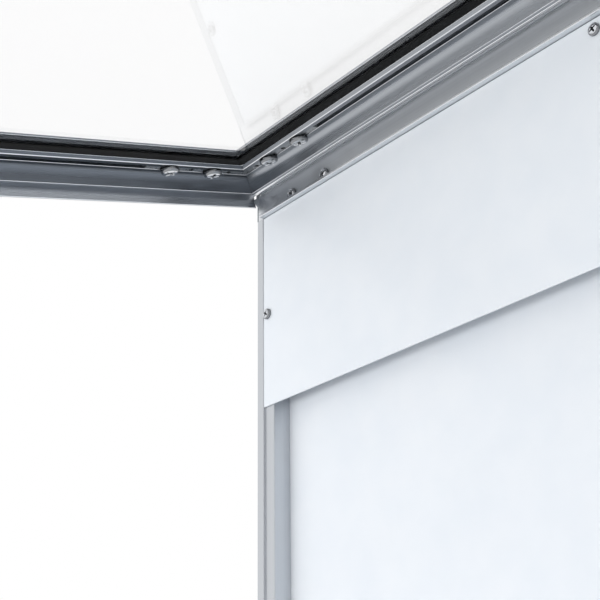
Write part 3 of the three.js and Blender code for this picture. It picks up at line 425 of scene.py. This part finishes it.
def sweep(name, points, start, across, up, along, length, mitres, to_part, finish, body, nodes):
    """Carries an outline along a straight rail. A point lies at start + x across + y up + s along, and a
    mitred end moves each point by its own x. Both ends are closed by a cap of the outline's shape. A side
    face gets a painted highlight, a paler tone, where it is narrow and the outline bends outwards over its
    two ends."""
    count = len(points)
    x, y = points.T
    run = np.stack([x * mitres[0], length - x * mitres[1]])
    flat = np.array(start) + x[:, None] * across + y[:, None] * up
    verts = (flat[None] + run[:, :, None] * along).reshape(-1, 3)
    first = np.arange(count)
    following = np.roll(first, -1)
    quads = np.stack([first, following, following + count, first + count], axis=1)
    faces = quads.tolist() + [first[::-1].tolist(), (first + count).tolist()]
    at_start, at_end = edge_normals(points)
    to_3d = np.stack([across, up])
    side = np.stack([at_start @ to_3d, at_end @ to_3d, at_end @ to_3d, at_start @ to_3d], axis=1)
    slopes = [mitres[0] * across - along, along + mitres[1] * across]
    caps = [np.repeat((s / np.linalg.norm(s))[None], count, axis=0) for s in slopes]
    normals = directions_to_part(np.concatenate([side.reshape(-1, 3), *caps]), to_part)
    girth = np.concatenate([[0], np.cumsum(np.linalg.norm(np.roll(points, -1, axis=0) - points, axis=1))])
    low, high = girth[:-1], girth[1:]
    near, far = run
    uv = np.stack([np.stack(pair, axis=1) * MM for pair in (
        (near, low), (near[following], high), (far[following], high), (far, low))], axis=1)
    cap_uv = np.concatenate([points[::-1], points]) * MM
    piece = new_piece(name, to_part(verts), faces, finish, body, nodes,
                      normals, np.concatenate([uv.reshape(-1, 2), cap_uv]))
    step = points[following] - points
    step_on = step[following]
    bend = step[:, 0] * step_on[:, 1] - step[:, 1] * step_on[:, 0]
    # Narrow faces where the outline bends outwards get the painted edge highlight.
    narrow_and_round = (np.linalg.norm(step, axis=1) < EDGE_HIGHLIGHT_STEP) & (bend + np.roll(bend, 1) > 0)
    mark(piece, "painted_edge_highlight", "FACE", np.append(narrow_and_round, [0, 0]))
    return piece


# %% [markdown]
# ## Lathe shapes
#
# Tubes, rods and the eyes of the struts come off a lathe, so a profile is carried round an axis. Where it
# meets the axis its ring is a single point, and merging the ring closes the shape.

# %% Lathe function


def turned(name, profile, start, axis, to_part, finish, body, slot, nodes, sides=64):
    """A lathe shape: profile rows are (radius, height) from one pole to the other, carried round an axis.
    A vertex is start + height * axis + radius * (cos a * u + sin a * v)."""
    profile = np.array(profile, float)
    axis = np.array(axis, float) / np.linalg.norm(axis)
    u, v = square_to(axis)
    turn = np.linspace(0, 2 * np.pi, sides, endpoint=False)
    ring = np.cos(turn)[:, None] * u + np.sin(turn)[:, None] * v
    rows = len(profile)
    verts = np.array(start) + profile[:, 1, None, None] * axis + profile[:, 0, None, None] * ring[None]
    index = np.arange(rows * sides).reshape(rows, sides)
    on = np.roll(index, -1, axis=1)
    quads = np.stack([index[:-1], on[:-1], on[1:], index[1:]], axis=-1).reshape(-1, 4)
    at_start, at_end = edge_normals(profile, closed=False)
    at_start, at_end = at_start[:-1], at_end[:-1]
    ring_on = np.roll(ring, -1, axis=0)

    def tilt(normal, direction):
        """A profile's normal (outwards, along) carried to a place on the ring."""
        return normal[:, None, 0, None] * direction[None] + normal[:, None, 1, None] * axis

    side = np.stack([tilt(at_start, ring), tilt(at_start, ring_on), tilt(at_end, ring_on),
                     tilt(at_end, ring)], axis=2)
    normals = directions_to_part(side.reshape(-1, 3), to_part)
    piece = new_piece(name, to_part(verts.reshape(-1, 3)), quads.tolist(), finish, body, nodes, normals)
    close_poles(piece.data)
    return piece


def close_poles(mesh):
    """Merges the rings of no radius into single points, so that the shape is closed."""
    work = bmesh.new()
    work.from_mesh(mesh)
    bmesh.ops.remove_doubles(work, verts=work.verts, dist=SAME_POINT)
    bmesh.ops.recalc_face_normals(work, faces=work.faces)
    work.to_mesh(mesh)
    work.free()
    mesh.shade_smooth()
    mesh.set_sharp_from_angle(angle=SHARP_ANGLE)


# %% [markdown]
# ## Cut and stamped pieces
#
# A sheared sheet or a stamped bracket already has its shape in the solid model. Only its edges are too
# sharp, so a copy of the solid is merged, its flat faces are made whole, and a bevel breaks the edges.

# %% Function for eased solids


def eased(node, finish, body, edge=0.2, segments=2):
    """A cut or stamped piece: the solid's own shape, merged, with its edges broken by a small bevel."""
    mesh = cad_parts[node].data.copy()
    work = bmesh.new()
    work.from_mesh(mesh)
    bmesh.ops.remove_doubles(work, verts=work.verts, dist=10 * SAME_POINT)
    bmesh.ops.dissolve_limit(work, angle_limit=math.radians(1), verts=work.verts, edges=work.edges)
    work.to_mesh(mesh)
    work.free()
    mesh.shade_smooth()
    mesh.set_sharp_from_angle(angle=SHARP_ANGLE)
    piece = adopt(mesh, f"{node}_eased", finish, body, [node])
    bevel = piece.modifiers.new("edges", "BEVEL")
    bevel.width, bevel.segments = edge * MM, segments
    bevel.limit_method, bevel.angle_limit = "ANGLE", SHARP_ANGLE
    piece.modifiers.new("weights", "WEIGHTED_NORMAL").keep_sharp = True
    return piece


# %% [markdown]
# ## The case
#
# The stiles and the bottom rail share one section: a narrow rim that the door closes on, a land set back
# from it, and a groove at the back for the white sheet. They are mitred below. At the top the stiles stop
# square under the top rail.

# %% Case stiles and bottom rail
RIM, RIM_STEP, INNER_WALL, WALL, BACK_FLANGE, BUTT = 6.0, 1.2, 14.6, 1.5, 10, 0.1
GROOVE_FRONT, GROOVE_BACK, GROOVE_FLOOR, LIP_BACK = 12.15, 13.45, 9.6, 14.95
case_outline = outline([
    (0, 0, 0.7), (RIM, 0, 0.7), (RIM, RIM_STEP, 0.15), (INNER_WALL, RIM_STEP, 0.7),
    (INNER_WALL, GROOVE_FRONT), (GROOVE_FLOOR, GROOVE_FRONT), (GROOVE_FLOOR, GROOVE_BACK),
    (INNER_WALL, GROOVE_BACK), (INNER_WALL, LIP_BACK), (WALL, LIP_BACK), (WALL, CASE_DEPTH - WALL),
    (BACK_FLANGE, CASE_DEPTH - WALL), (BACK_FLANGE, CASE_DEPTH), (0, CASE_DEPTH, 0.4)])
for side, (start, across, along, length) in sides_of(CASE_WIDTH, CASE_DROP).items():
    if side == "top":
        continue
    kind = "rail" if side == "bottom" else "stile"
    mitres = {"bottom": (1, 1), "left": (1, 0), "right": (0, 1)}[side]
    short = 0 if side == "bottom" else BUTT
    begin = np.array(start) + (along * short if side == "right" else 0)
    sweep(f"case_{side}_{kind}_extrusion", case_outline, begin, across, Y, along, length - short, mitres,
          case_to_part, "anodised_silver", "root", [f"case_{side}_{kind}"])
print("case outline points:", len(case_outline))

# %% [markdown]
# ## The top rail
#
# The top rail carries the door. Its face rises from a small gutter lip to a round bead, which the door's
# socket wraps and turns on. Over the stiles only the upper part runs on to the end caps. So the rail is
# four sweeps of different lengths: the upper part, the gutter lip, the drop behind the header and the
# foot at the wall.

# %% Case top rail
# Four radii about the hinge: the bead, the hollow that the knuckle turns in, the knuckle and its socket.
BEAD, HOLLOW, KNUCKLE, SOCKET = 1.6, 3.3, 2.9, 1.85
RISE, DROP, GUTTER, GUTTER_RISE, SKIN, NECK = 17.0, 10.0, 3.2, 1.7, 0.8, 0.8
SHOULDER, SHOULDER_TOP, GUTTER_ROOT, SLOT_DEPTH, CAP = 2.7, 19.6, 0.4, 5, 1.2
CLEAR_OF_FACE = 4
BEAD_CENTRE = (-2.0, 19.2)
face_top = BEAD_CENTRE[1] - math.sqrt(HOLLOW ** 2 - BEAD_CENTRE[0] ** 2)
hollow_start = math.degrees(math.atan2(face_top - BEAD_CENTRE[1], -BEAD_CENTRE[0]))
hollow_end = -math.degrees(math.asin(NECK / 2 / HOLLOW))
bead_start = math.degrees(math.asin(NECK / 2 / BEAD))
gutter_outline = outline([
    (-GUTTER, 0, 0.35), (-GUTTER, GUTTER_RISE, 0.3), (SKIN - GUTTER, GUTTER_RISE, 0.3),
    (SKIN - GUTTER, SKIN, 0.2), (GUTTER_ROOT, SKIN, 0.1), (GUTTER_ROOT, CRISP, 0.1)])
rail_outline = outline([
    (0, 0, 0.15), (0, face_top, 0.3),
    *arc_corners(BEAD_CENTRE, HOLLOW, hollow_start + CLEAR_OF_FACE, hollow_end, 7),
    *arc_corners(BEAD_CENTRE, BEAD, -bead_start, bead_start - 360, 25),
    (SHOULDER, SHOULDER_TOP), (SHOULDER, RISE), (CASE_DEPTH, RISE, 0.4), (CASE_DEPTH, 0, CRISP)])
drop_outline = outline([
    (RIM_STEP, -DROP), (GROOVE_FRONT, -DROP), (GROOVE_FRONT, SLOT_DEPTH - DROP),
    (GROOVE_BACK, SLOT_DEPTH - DROP), (GROOVE_BACK, -DROP), (LIP_BACK, -DROP), (LIP_BACK, 0, CRISP),
    (RIM_STEP, 0, CRISP)])
foot_outline = outline([
    (CASE_DEPTH - WALL, -DROP), (CASE_DEPTH, -DROP), (CASE_DEPTH, 0, CRISP), (CASE_DEPTH - WALL, 0, CRISP)])
for part, points, inset in (
        ("upper", rail_outline, CAP + BUTT), ("gutter", gutter_outline, RIM),
        ("drop", drop_outline, INNER_WALL + BUTT), ("foot", foot_outline, INNER_WALL + BUTT)):
    sweep(f"case_top_rail_{part}", points, (inset, 0, 0), Y, Z, X, CASE_WIDTH - 2 * inset, (0, 0),
          case_to_part, "anodised_rail_painted_light", "root", ["case_top_rail"])
for side in ("left", "right"):
    eased(f"top_rail_cap_{side}", "grey_moulding", "root", 0.25)
print("top rail outline points:", len(rail_outline))

# %% [markdown]
# ## Sheets and brackets
#
# The header and the rear sheet are sheared steel, enamelled white. Sheared edges are only just broken, so
# these pieces keep the solid's shape and get a bevel of little more than a tenth of a millimetre. The
# brackets and strike plates are stamped and zinc plated, with rounder edges.

# %% Sheets and stamped pieces
eased("rear_panel", "white_enamel", "root", 0.12)
eased("header_panel", "white_enamel", "root", 0.15)
for side in ("left", "right"):
    for level in ("top", "bottom"):
        eased(f"corner_bracket_{level}_{side}", "zinc_plated_steel", "root", 0.3)
    eased(f"strut_case_bracket_{side}", "zinc_plated_steel", "root", 0.25)
    eased(f"strike_plate_{side}", "zinc_plated_steel", "root", 0.25)
    eased(f"strut_door_bracket_{side}", "zinc_plated_steel", "door", 0.25)
print("pieces so far:", len(made_pieces))

# %% [markdown]
# ## The door frame
#
# The door's section is the most skilled shape here. From its edge inwards it has a skirt that laps over
# the case, a bay and a thin ridge that closes on the case's rim, a cove, a land with a screw channel, a
# wall for the glass, and a lip in front. On the top rail the skirt gives way to the hinge socket. Its mouth
# is as wide as the bead's neck from the open door to the shut one, with a little room on both sides.

# %% Door sections
SKIRT_TOP, SKIRT, BAY_FLOOR = 15.6, 1.2, 5.4
RIDGE_OUT, RIDGE_IN, RIDGE_TOP, CHANNEL_LIP, CHANNEL_FLOOR = 6.4, 7.1, 9.1, -1.6, -4.6
CHANNEL_OUT, MOUTH_OUT, MOUTH_IN, CHANNEL_IN = 11.6, 13.6, 17.6, 19.6
FRONT, FLAT_END, GLASS_WALL, GLASS_SEAT, LIP_FRONT, LIP_END = -11.0, 21.2, 22.2, -8.7, -10.2, 32.2
ridge_and_cove = [(RIDGE_OUT, RIDGE_TOP, 0.25), (RIDGE_IN, RIDGE_TOP, 0.25), (RIDGE_IN, 0, 8.5, 4.4)]
land_and_lip = [
    (MOUTH_OUT, 0), (MOUTH_OUT, CHANNEL_LIP, 0.2), (CHANNEL_OUT, CHANNEL_LIP, 0.2),
    (CHANNEL_OUT, CHANNEL_FLOOR), (CHANNEL_IN, CHANNEL_FLOOR), (CHANNEL_IN, CHANNEL_LIP, 0.2),
    (MOUTH_IN, CHANNEL_LIP, 0.2), (MOUTH_IN, 0), (FLAT_END, 0, 0.4), (GLASS_WALL, -2.3),
    (GLASS_WALL, GLASS_SEAT), (LIP_END, GLASS_SEAT), (LIP_END, LIP_FRONT, 0.6, 1.4),
    (GLASS_WALL, LIP_FRONT, 5.0, 0.6), (FLAT_END, FRONT, 0.6), (0, FRONT, 2.5)]
stile_outline = outline([
    (0, SKIRT_TOP, 0.4), (SKIRT, SKIRT_TOP, 0.4), (SKIRT, BAY_FLOOR, 3.0, 2.5),
    (RIDGE_OUT, BAY_FLOOR, 2.5, 3.0), *ridge_and_cove, *land_and_lip])

SOCKET_CENTRE, NECK_ROOM, KNUCKLE_END = (3, 7.4), 0.25, 40
neck_turn = math.degrees(math.asin((NECK / 2 + NECK_ROOM) / SOCKET))
open_end, shut_end = 90 + OPEN_DEGREES + neck_turn, 90 - neck_turn
hinge_outline = outline([
    (0, SOCKET_CENTRE[1] + KNUCKLE * math.sin(math.radians(open_end)), 0.2),
    *arc_corners(SOCKET_CENTRE, SOCKET, open_end, shut_end + 360, 18),
    *arc_corners(SOCKET_CENTRE, KNUCKLE, shut_end, KNUCKLE_END, 5), *ridge_and_cove[1:], *land_and_lip])
BAY_FROM, BAY_TO, BAY_ABOVE = 0.6, 7.0, 5.0
for side, (start, across, along, length) in sides_of(DOOR_WIDTH, DOOR_HEIGHT).items():
    kind, slot = ("rail", "rail_anodised") if side in ("top", "bottom") else ("stile", "anodised")
    points = hinge_outline if side == "top" else stile_outline
    piece = sweep(f"door_{side}_{kind}_extrusion", points, np.array(start) + BUTT * along, across, Y, along,
                  length - 2 * BUTT, (1, 1), door_to_part, f"anodised_shaded_door_{kind}", "door",
                  [f"door_{side}_{kind}"])
    # The bay's faces are marked for a paler tone, painted light where its walls shade one another.
    x, y = points.T
    in_bay = (x > BAY_FROM) & (x < BAY_TO) & (y > BAY_ABOVE)
    mark(piece, "painted_bay_light", "FACE", np.append(in_bay & np.roll(in_bay, -1), [0, 0]))
print("door outline points:", len(stile_outline), len(hinge_outline))

# %% [markdown]
# ## Glazing
#
# The pane lies on a strip of grey foam tape against the front lip, and a black rubber gasket wedged behind
# it holds it from inside. Both run round the door with mitred corners. The gasket's face is slightly
# crowned with a lip that presses on the glass.

# %% Pane, gaskets and tapes
GASKET_SEAT, TAPE_FRONT, TAPE_BACK, TAPE_FROM, TAPE_TO = -2.9, -8.4, -7.5, 23.0, 31.2
gasket_outline = outline([
    (22.5, GASKET_SEAT, 0.2), (29.9, GASKET_SEAT, 0.5), (30.1, -1.9, 0.5, 1.6), (22.7, -2.1, 1.2, 0.3)])
tape_outline = outline([
    (TAPE_FROM, TAPE_FRONT, 0.2), (TAPE_TO, TAPE_FRONT, 0.2), (TAPE_TO, TAPE_BACK, 0.2),
    (TAPE_FROM, TAPE_BACK, 0.2)])
for side, (start, across, along, length) in sides_of(DOOR_WIDTH, DOOR_HEIGHT).items():
    for strip, points, tone, slot in (("gasket", gasket_outline, "black_rubber", "gasket_rubber"),
                                      ("tape", tape_outline, "grey_foam", "foam_tape")):
        sweep(f"glazing_{strip}_{side}_strip", points, np.array(start) + BUTT * along, across, Y, along,
              length - 2 * BUTT, (1, 1), door_to_part, tone, "door", [f"glazing_{strip}_{side}"])
eased("door_pane", "toughened_glass", "door", 0.35)
print("pieces so far:", len(made_pieces))

# %% [markdown]
# ## Pan-head screws
#
# A pan head is a low dome with a cross recess. The dome is a curve of the distance from the middle, and
# the recess is taken out of it: the distance to the nearer arm of the cross says how deep a point sinks.
# Both are worked out on one polar grid, so that each screw is a single closed surface. The same numbers
# say where the recess and the rim get painted shade, written down as a point attribute.

# %% Screw function
RINGS, SPOKES = 30, 72
DOME_SHARE, DOME_FALL, DOME_POWER = 0.97, 0.42, 5
ARM_REACH, ARM_HALF, ARM_TAPER, RECESS_DEPTH = 0.60, 0.13, 0.35, 0.62
ARM_ROOT, WALL_WIDTH, STOP_WIDTH, FLANK_TOP, FLANK_FOOT = 1.15, 0.05, 0.10, 0.45, 0.06
RIM_FROM, RIM_FADE, RIM_SHADE, RECESS_SHADE = 0.76, 0.10, 0.62, 0.92
SIDE_SHADE = [RIM_SHADE, 0.80, 0.85, 0, 0, 0]


def pan_screw(name, head, height, shank, length, spin, start, axis, to_part, body, node):
    """Height is the dome h * (1 - 0.42 * (r / R)^5) less the recess. In arm coordinates the recess is
    deepest in the middle and rises along each arm. Its wall is steep where the distance to the arm's middle
    line nears the arm's half width, and its end is steep where the arm reaches its length. The side of the
    head drops straight to the seat and the shank follows."""
    share = np.linspace(0, 1, RINGS)[:, None]
    turn = np.linspace(0, 2 * np.pi, SPOKES, endpoint=False)[None, :]
    radius = share * head * DOME_SHARE
    px, py = np.abs(radius * np.cos(turn + spin)), np.abs(radius * np.sin(turn + spin))
    along, beside = np.maximum(px, py), np.minimum(px, py)
    reach, half = ARM_REACH * head, ARM_HALF * head
    half_here = half * (ARM_ROOT - ARM_TAPER * along / reach)
    wall = np.clip((half_here - beside) / (WALL_WIDTH * head) + 0.5, 0, 1)
    stop = np.clip((reach - along) / (STOP_WIDTH * head) + 0.5, 0, 1)
    sink = RECESS_DEPTH * height * wall * stop * (1 - ARM_TAPER * along / reach)
    dome = height * (1 - DOME_FALL * share ** DOME_POWER) - sink
    side = np.array([(head, FLANK_TOP * height), (head, FLANK_FOOT * height), (head * DOME_SHARE, 0),
                     (shank, 0), (shank, -length), (0, -length)])

    def all_round(column):
        """The same value at every spoke."""
        return np.broadcast_to(column, (len(column), SPOKES))

    radii = np.concatenate([all_round(radius), all_round(side[:, :1])])
    levels = np.concatenate([dome, all_round(side[:, 1:])])
    axis = np.array(axis, float)
    u, v = square_to(axis)
    verts = (np.array(start) + levels[..., None] * axis
             + radii[..., None] * (np.cos(turn)[..., None] * u + np.sin(turn)[..., None] * v))
    index = np.arange(verts.size // 3).reshape(-1, SPOKES)
    on = np.roll(index, -1, axis=1)
    quads = np.stack([index[:-1], index[1:], on[1:], on[:-1]], axis=-1).reshape(-1, 4)
    piece = new_piece(name, to_part(verts.reshape(-1, 3)), quads.tolist(), "bright_chrome", body,
                      [node])
    # Painted shade: a ring at the rim, the recess and the head's side are darkened.
    rim = np.clip((share - RIM_FROM) / RIM_FADE, 0, 1) * RIM_SHADE
    below = all_round(np.array(SIDE_SHADE)[:, None])
    mark(piece, "painted_screw_shade", "POINT", np.concatenate([np.maximum(rim, RECESS_SHADE * wall * stop), below]))
    close_poles(piece.data)
    return piece


# %% [markdown]
# The screws sit where the solids have them: two at each end of the top rail, four round the header, and
# four in each upper corner of the door. No two are ever left at the same turn by the screwdriver.

# %% Place the screws
# Each size is head radius, head height, shank radius.
RAIL_SCREW, HEADER_SCREW, DOOR_SCREW, SCREW_LENGTH = (3.5, 2.1, 1.8), (3.2, 1.9, 1.4), (5.4, 3.0, 1.6), 4.0
RAIL_FIRST, RAIL_STEP, RAIL_LEVEL, RAIL_SEAT = 36, 31, 4.4, -0.1
HEADER_INSET, HEADER_MIDDLE, HEADER_TOP, HEADER_SEAT = 10.3, -62.222, -6.0, 0.1
CLEAT_NEAR, CLEAT_FAR, LAND_MIDDLE, CLEAT_SEAT = 39.5, 69.0, 15.6, 0.3
CASE_TURN, CASE_TURN_STEP, DOOR_TURN, DOOR_TURN_STEP = 0.4, 0.9, 0.2, 1.1
case_screws = {}
for side, edge, sign in (("left", 0, 1), ("right", CASE_WIDTH, -1)):
    for index in (0, 1):
        place = (edge + sign * (RAIL_FIRST + RAIL_STEP * index), RAIL_SEAT, RAIL_LEVEL)
        case_screws[f"case_screw_{side}_{index + 1}"] = (place, RAIL_SCREW)
    place = (edge + sign * HEADER_INSET, HEADER_SEAT, HEADER_MIDDLE)
    case_screws[f"header_screw_{side}"] = (place, HEADER_SCREW)
for index in (1, 2):
    place = (CASE_WIDTH * index / 3, HEADER_SEAT, HEADER_TOP)
    case_screws[f"header_screw_top_{index}"] = (place, HEADER_SCREW)
for count, (node, (place, size)) in enumerate(case_screws.items()):
    pan_screw(f"{node}_turned", *size, SCREW_LENGTH, CASE_TURN + CASE_TURN_STEP * count, place, -Y,
              case_to_part, "root", node)
cleat_places = ((CLEAT_NEAR, LAND_MIDDLE), (LAND_MIDDLE, CLEAT_NEAR), (CLEAT_FAR, LAND_MIDDLE),
                (LAND_MIDDLE, CLEAT_FAR))
for side, edge, sign in (("left", 0, 1), ("right", DOOR_WIDTH, -1)):
    for index, (reach, drop) in enumerate(cleat_places):
        node = f"door_screw_{side}_{index + 1}"
        place = (edge + sign * reach, CLEAT_SEAT, -drop)
        pan_screw(f"{node}_turned", *DOOR_SCREW, SCREW_LENGTH, DOOR_TURN + DOOR_TURN_STEP * index, place, Y,
                  door_to_part, "door", node)
for side in ("left", "right"):
    for level in ("top", "bottom"):
        eased(f"corner_cleat_{level}_{side}", "zinc_plated_steel", "door", 0.2)
print("screws:", len(case_screws) + 2 * len(cleat_places))

# %% [markdown]
# ## Cam locks
#
# Each lock is a nickel-plated casting that passes through the bottom rail, with a steel cam on its inner
# end. Its shape in the solid model is already turned and slotted for the key, so it is only eased.

# %% Locks
for side in ("left", "right"):
    eased(f"lock_body_{side}", "nickel_casting", "door", 0.2)
    eased(f"lock_cam_{side}", "zinc_plated_steel", f"lock_cam_{side}", 0.25)
print("pieces so far:", len(made_pieces))

# %% [markdown]
# ## Gas struts
#
# A gas strut is a drawn steel tube, closed by rolling its end over a seal, and a hard-chromed rod. Both
# are lathe shapes about the strut's own axis. The barrel is hollow behind the seal, because the rod slides
# into it when the door shuts. An eye at each end turns on a pin that lies across the board, so the eyes
# are lathe shapes about X. The profiles' rows are radius and height above the foot's pin or the rod's pin.

# %% Struts
STRUT_LEAN = math.radians(20.127739)
STRUT_AXIS = np.array([0, -math.sin(STRUT_LEAN), math.cos(STRUT_LEAN)])
STRUT_INSET, STRUT_DEPTH, STRUT_DROP = 29.0, 4.0, 740
OPEN_LENGTH, TUBE_END, EYE, EYE_BORE, ROD_EYE_BORE = 720.35044, 428.0, 4.6, 3.3, 3.0
TUBE, TUBE_INSIDE, TUBE_FLOOR, SEAL_BORE, SEAL_INNER = 6.5, 5.4, 24.5, 3.3, TUBE_END - 12
GROOVE = 5.9
ROD, ROD_END = 3, TUBE_END - OPEN_LENGTH - 4
tube_profile = [
    (0, 22), (2.9, 22), (5.0, 22.3), (6.2, 23.4), (TUBE, 25),
    (TUBE, 404), (6.3, 405), (GROOVE, 406.2), (GROOVE, 407.8), (6.3, 409), (TUBE, 410),
    (TUBE, 425.2), (6.2, 427), (TUBE_INSIDE, TUBE_END), (3.5, TUBE_END), (SEAL_BORE, TUBE_END - 0.3),
    (SEAL_BORE, SEAL_INNER), (TUBE_INSIDE, SEAL_INNER), (TUBE_INSIDE, TUBE_FLOOR), (0, TUBE_FLOOR)]
foot_profile = [(0, 3.9), (2.4, 3.9), (2.9, 7), (2.9, 16), (3.6, 18), (3.6, 21.9), (0, 21.9)]
rod_profile = [(0, ROD_END), (ROD, ROD_END), (ROD, -22), (2.9, -21.7), (3.6, -21.4), (3.6, -17.6),
               (2.9, -17), (2.9, -7), (2.4, -3.9), (0, -3.9)]


def eye_profile(bore, half=3.0):
    """A ring's outline from bore to rim: a rectangle with its four corners cut by a third of a millimetre."""
    cut = 0.35
    return [(bore, cut - half), (bore + cut, -half), (EYE - cut, -half), (EYE, cut - half),
            (EYE, half - cut), (EYE - cut, half), (bore + cut, half), (bore, half - cut), (bore, cut - half)]


for side, x in (("left", STRUT_INSET), ("right", CASE_WIDTH - STRUT_INSET)):
    foot = np.array([x, STRUT_DEPTH, HINGE[2] - STRUT_DROP])
    tip = foot + OPEN_LENGTH * STRUT_AXIS
    tube_body, rod_body = f"strut_tube_{side}", f"strut_rod_{side}"
    turned(f"{tube_body}_barrel", tube_profile, foot, STRUT_AXIS, case_to_part, "black_enamel", tube_body,
           "strut_black", [tube_body])
    turned(f"{tube_body}_shank", foot_profile, foot, STRUT_AXIS, case_to_part, "zinc_plated_steel", tube_body,
           "strut_black", [tube_body], 40)
    turned(f"{tube_body}_eye", eye_profile(EYE_BORE), foot, X, case_to_part, "zinc_plated_steel", tube_body,
           "strut_black", [tube_body])
    turned(f"{rod_body}_bar", rod_profile, tip, STRUT_AXIS, case_to_part, "hard_chrome_rod", rod_body,
           "strut_rod", [rod_body])
    turned(f"{rod_body}_eye", eye_profile(ROD_EYE_BORE), tip, X, case_to_part, "zinc_plated_steel",
           rod_body, "strut_rod", [rod_body])
print("pieces made:", len(made_pieces))

# %% [markdown]
# ## Floor, light and camera
#
# The board stands over a plain pale floor in soft studio light. Wherever the camera, a reflection or the
# glass looks past the object it sees plain white. The light that falls on the object is a separate
# strength. It is greater from the front than from behind, so that the sheets in the open case are
# as light as the surroundings. One wide soft lamp, low at the floor's front edge, lights the case from
# under the open door, and the header throws a thin shadow on the sheet below it. The lamp hides from
# mirrors and glass.

# %% Floor
FLOOR_LEVEL, FLOOR_REACH, FLOOR_FRONT = -1.0685, 12.0, 3.0
floor_mesh = bpy.data.meshes.new("floor")
floor_mesh.from_pydata([
    (-FLOOR_REACH, -FLOOR_FRONT, FLOOR_LEVEL), (FLOOR_REACH, -FLOOR_FRONT, FLOOR_LEVEL),
    (FLOOR_REACH, FLOOR_REACH, FLOOR_LEVEL), (-FLOOR_REACH, FLOOR_REACH, FLOOR_LEVEL)], [], [(0, 1, 2, 3)])
floor = bpy.data.objects.new("floor", floor_mesh)
bpy.context.scene.collection.objects.link(floor)
floor_paint, floor_tree, floor_out = new_material("pale_floor")
floor_shader = add_node(floor_tree, "ShaderNodeBsdfPrincipled", {
    "Base Color": linear("#f4f4f5"), "Roughness": 0.8})
floor_tree.links.new(floor_shader.outputs["BSDF"], floor_out.inputs["Surface"])
floor_mesh.materials.append(floor_paint)
floor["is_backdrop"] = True
floor.visible_glossy = False
print("floor at", FLOOR_LEVEL)

# %% World
LIGHT_FROM_BACK, LIGHT_FROM_FRONT, LIGHT_SEEN = 0.55, 1.10, 1.0
scene = bpy.context.scene
scene.view_settings.view_transform = "Standard"
scene.world = scene.world or bpy.data.worlds.new("studio")
scene.world.use_nodes = True
sky = scene.world.node_tree
sky.nodes.clear()
ray = add_node(sky, "ShaderNodeLightPath")
mirrored = add_node(sky, "ShaderNodeMath", {
    0: ray.outputs["Is Glossy Ray"], 1: ray.outputs["Is Transmission Ray"]}, operation="MAXIMUM")
seen = add_node(sky, "ShaderNodeMath", {
    0: ray.outputs["Is Camera Ray"], 1: mirrored.outputs["Value"]}, operation="MAXIMUM")
direction = add_node(sky, "ShaderNodeTexCoord").outputs["Generated"]
depth = add_node(sky, "ShaderNodeSeparateXYZ", {"Vector": direction}).outputs["Y"]
level = add_node(sky, "ShaderNodeMapRange", {
    "Value": depth, "From Min": 0.1, "From Max": -0.6, "To Min": LIGHT_FROM_BACK,
    "To Max": LIGHT_FROM_FRONT}, interpolation_type="SMOOTHSTEP")
studio = add_node(sky, "ShaderNodeBackground", {
    "Color": linear("#fbfcff"), "Strength": level.outputs["Result"]})
backdrop = add_node(sky, "ShaderNodeBackground", {"Color": linear("#ffffff"), "Strength": LIGHT_SEEN})
either = add_node(sky, "ShaderNodeMixShader", {
    0: seen.outputs["Value"], 1: studio.outputs["Background"], 2: backdrop.outputs["Background"]})
add_node(sky, "ShaderNodeOutputWorld", {"Surface": either.outputs["Shader"]})
print("world nodes:", len(sky.nodes))

# %% Lamp
LAMP_SIZE, LAMP_POWER, LAMP_SIDE, LAMP_RISE = (3.6, 0.9), 32, -0.8, 0.46


def aim(obj, place, target):
    """Puts a lamp at a place with its beam, which is its -Z, towards a target."""
    obj.location = place
    obj.rotation_euler = (Vector(target) - Vector(place)).to_track_quat("-Z", "Y").to_euler()


lamp_data = bpy.data.lights.new("soft_wall", "AREA")
lamp_data.shape, lamp_data.energy = "RECTANGLE", LAMP_POWER
lamp_data.size, lamp_data.size_y = LAMP_SIZE
lamp = bpy.data.objects.new("soft_wall", lamp_data)
scene.collection.objects.link(lamp)
lamp.visible_glossy = lamp.visible_transmission = False
lamp_level = FLOOR_LEVEL + LAMP_RISE
aim(lamp, (LAMP_SIDE, -FLOOR_FRONT, lamp_level), (LAMP_SIDE, 0.0, lamp_level))
print("lamp at", tuple(lamp.location))

# %% [markdown]
# The camera looks up into the top left corner from below and to the right. Its place and turn come from the
# vanishing points of the rails, and its lens from how fast they close. The rows below are its right, up
# and backward directions, and the focal length is in pixels of a frame 600 wide.

# %% Camera
FOCAL_PIXELS, FRAME_PIXELS, SENSOR = 1328, 600, 36
CAMERA_PLACE = (0.198, -0.4336, -0.3395)
RIGHT, UP, BACKWARD = (0.5914, 0.8062, -0.0110), (0.3013, -0.2084, 0.9305), (0.7479, -0.5536, -0.3662)
camera_data = bpy.data.cameras.new("camera")
camera_data.lens, camera_data.sensor_width = FOCAL_PIXELS / FRAME_PIXELS * SENSOR, SENSOR
camera_data.clip_start = 0.01
camera = bpy.data.objects.new("camera", camera_data)
scene.collection.objects.link(camera)
camera_turn = Matrix((RIGHT, UP, BACKWARD)).transposed().to_4x4()
camera.matrix_world = Matrix.Translation(CAMERA_PLACE) @ camera_turn
scene.camera = camera
print("lens in mm:", round(camera_data.lens, 2))

# %% Size of the solids and of the new pieces
size = {"cad": [list(corner) for corner in cad_box], "visual": [list(corner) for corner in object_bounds()]}
print("size:", size)
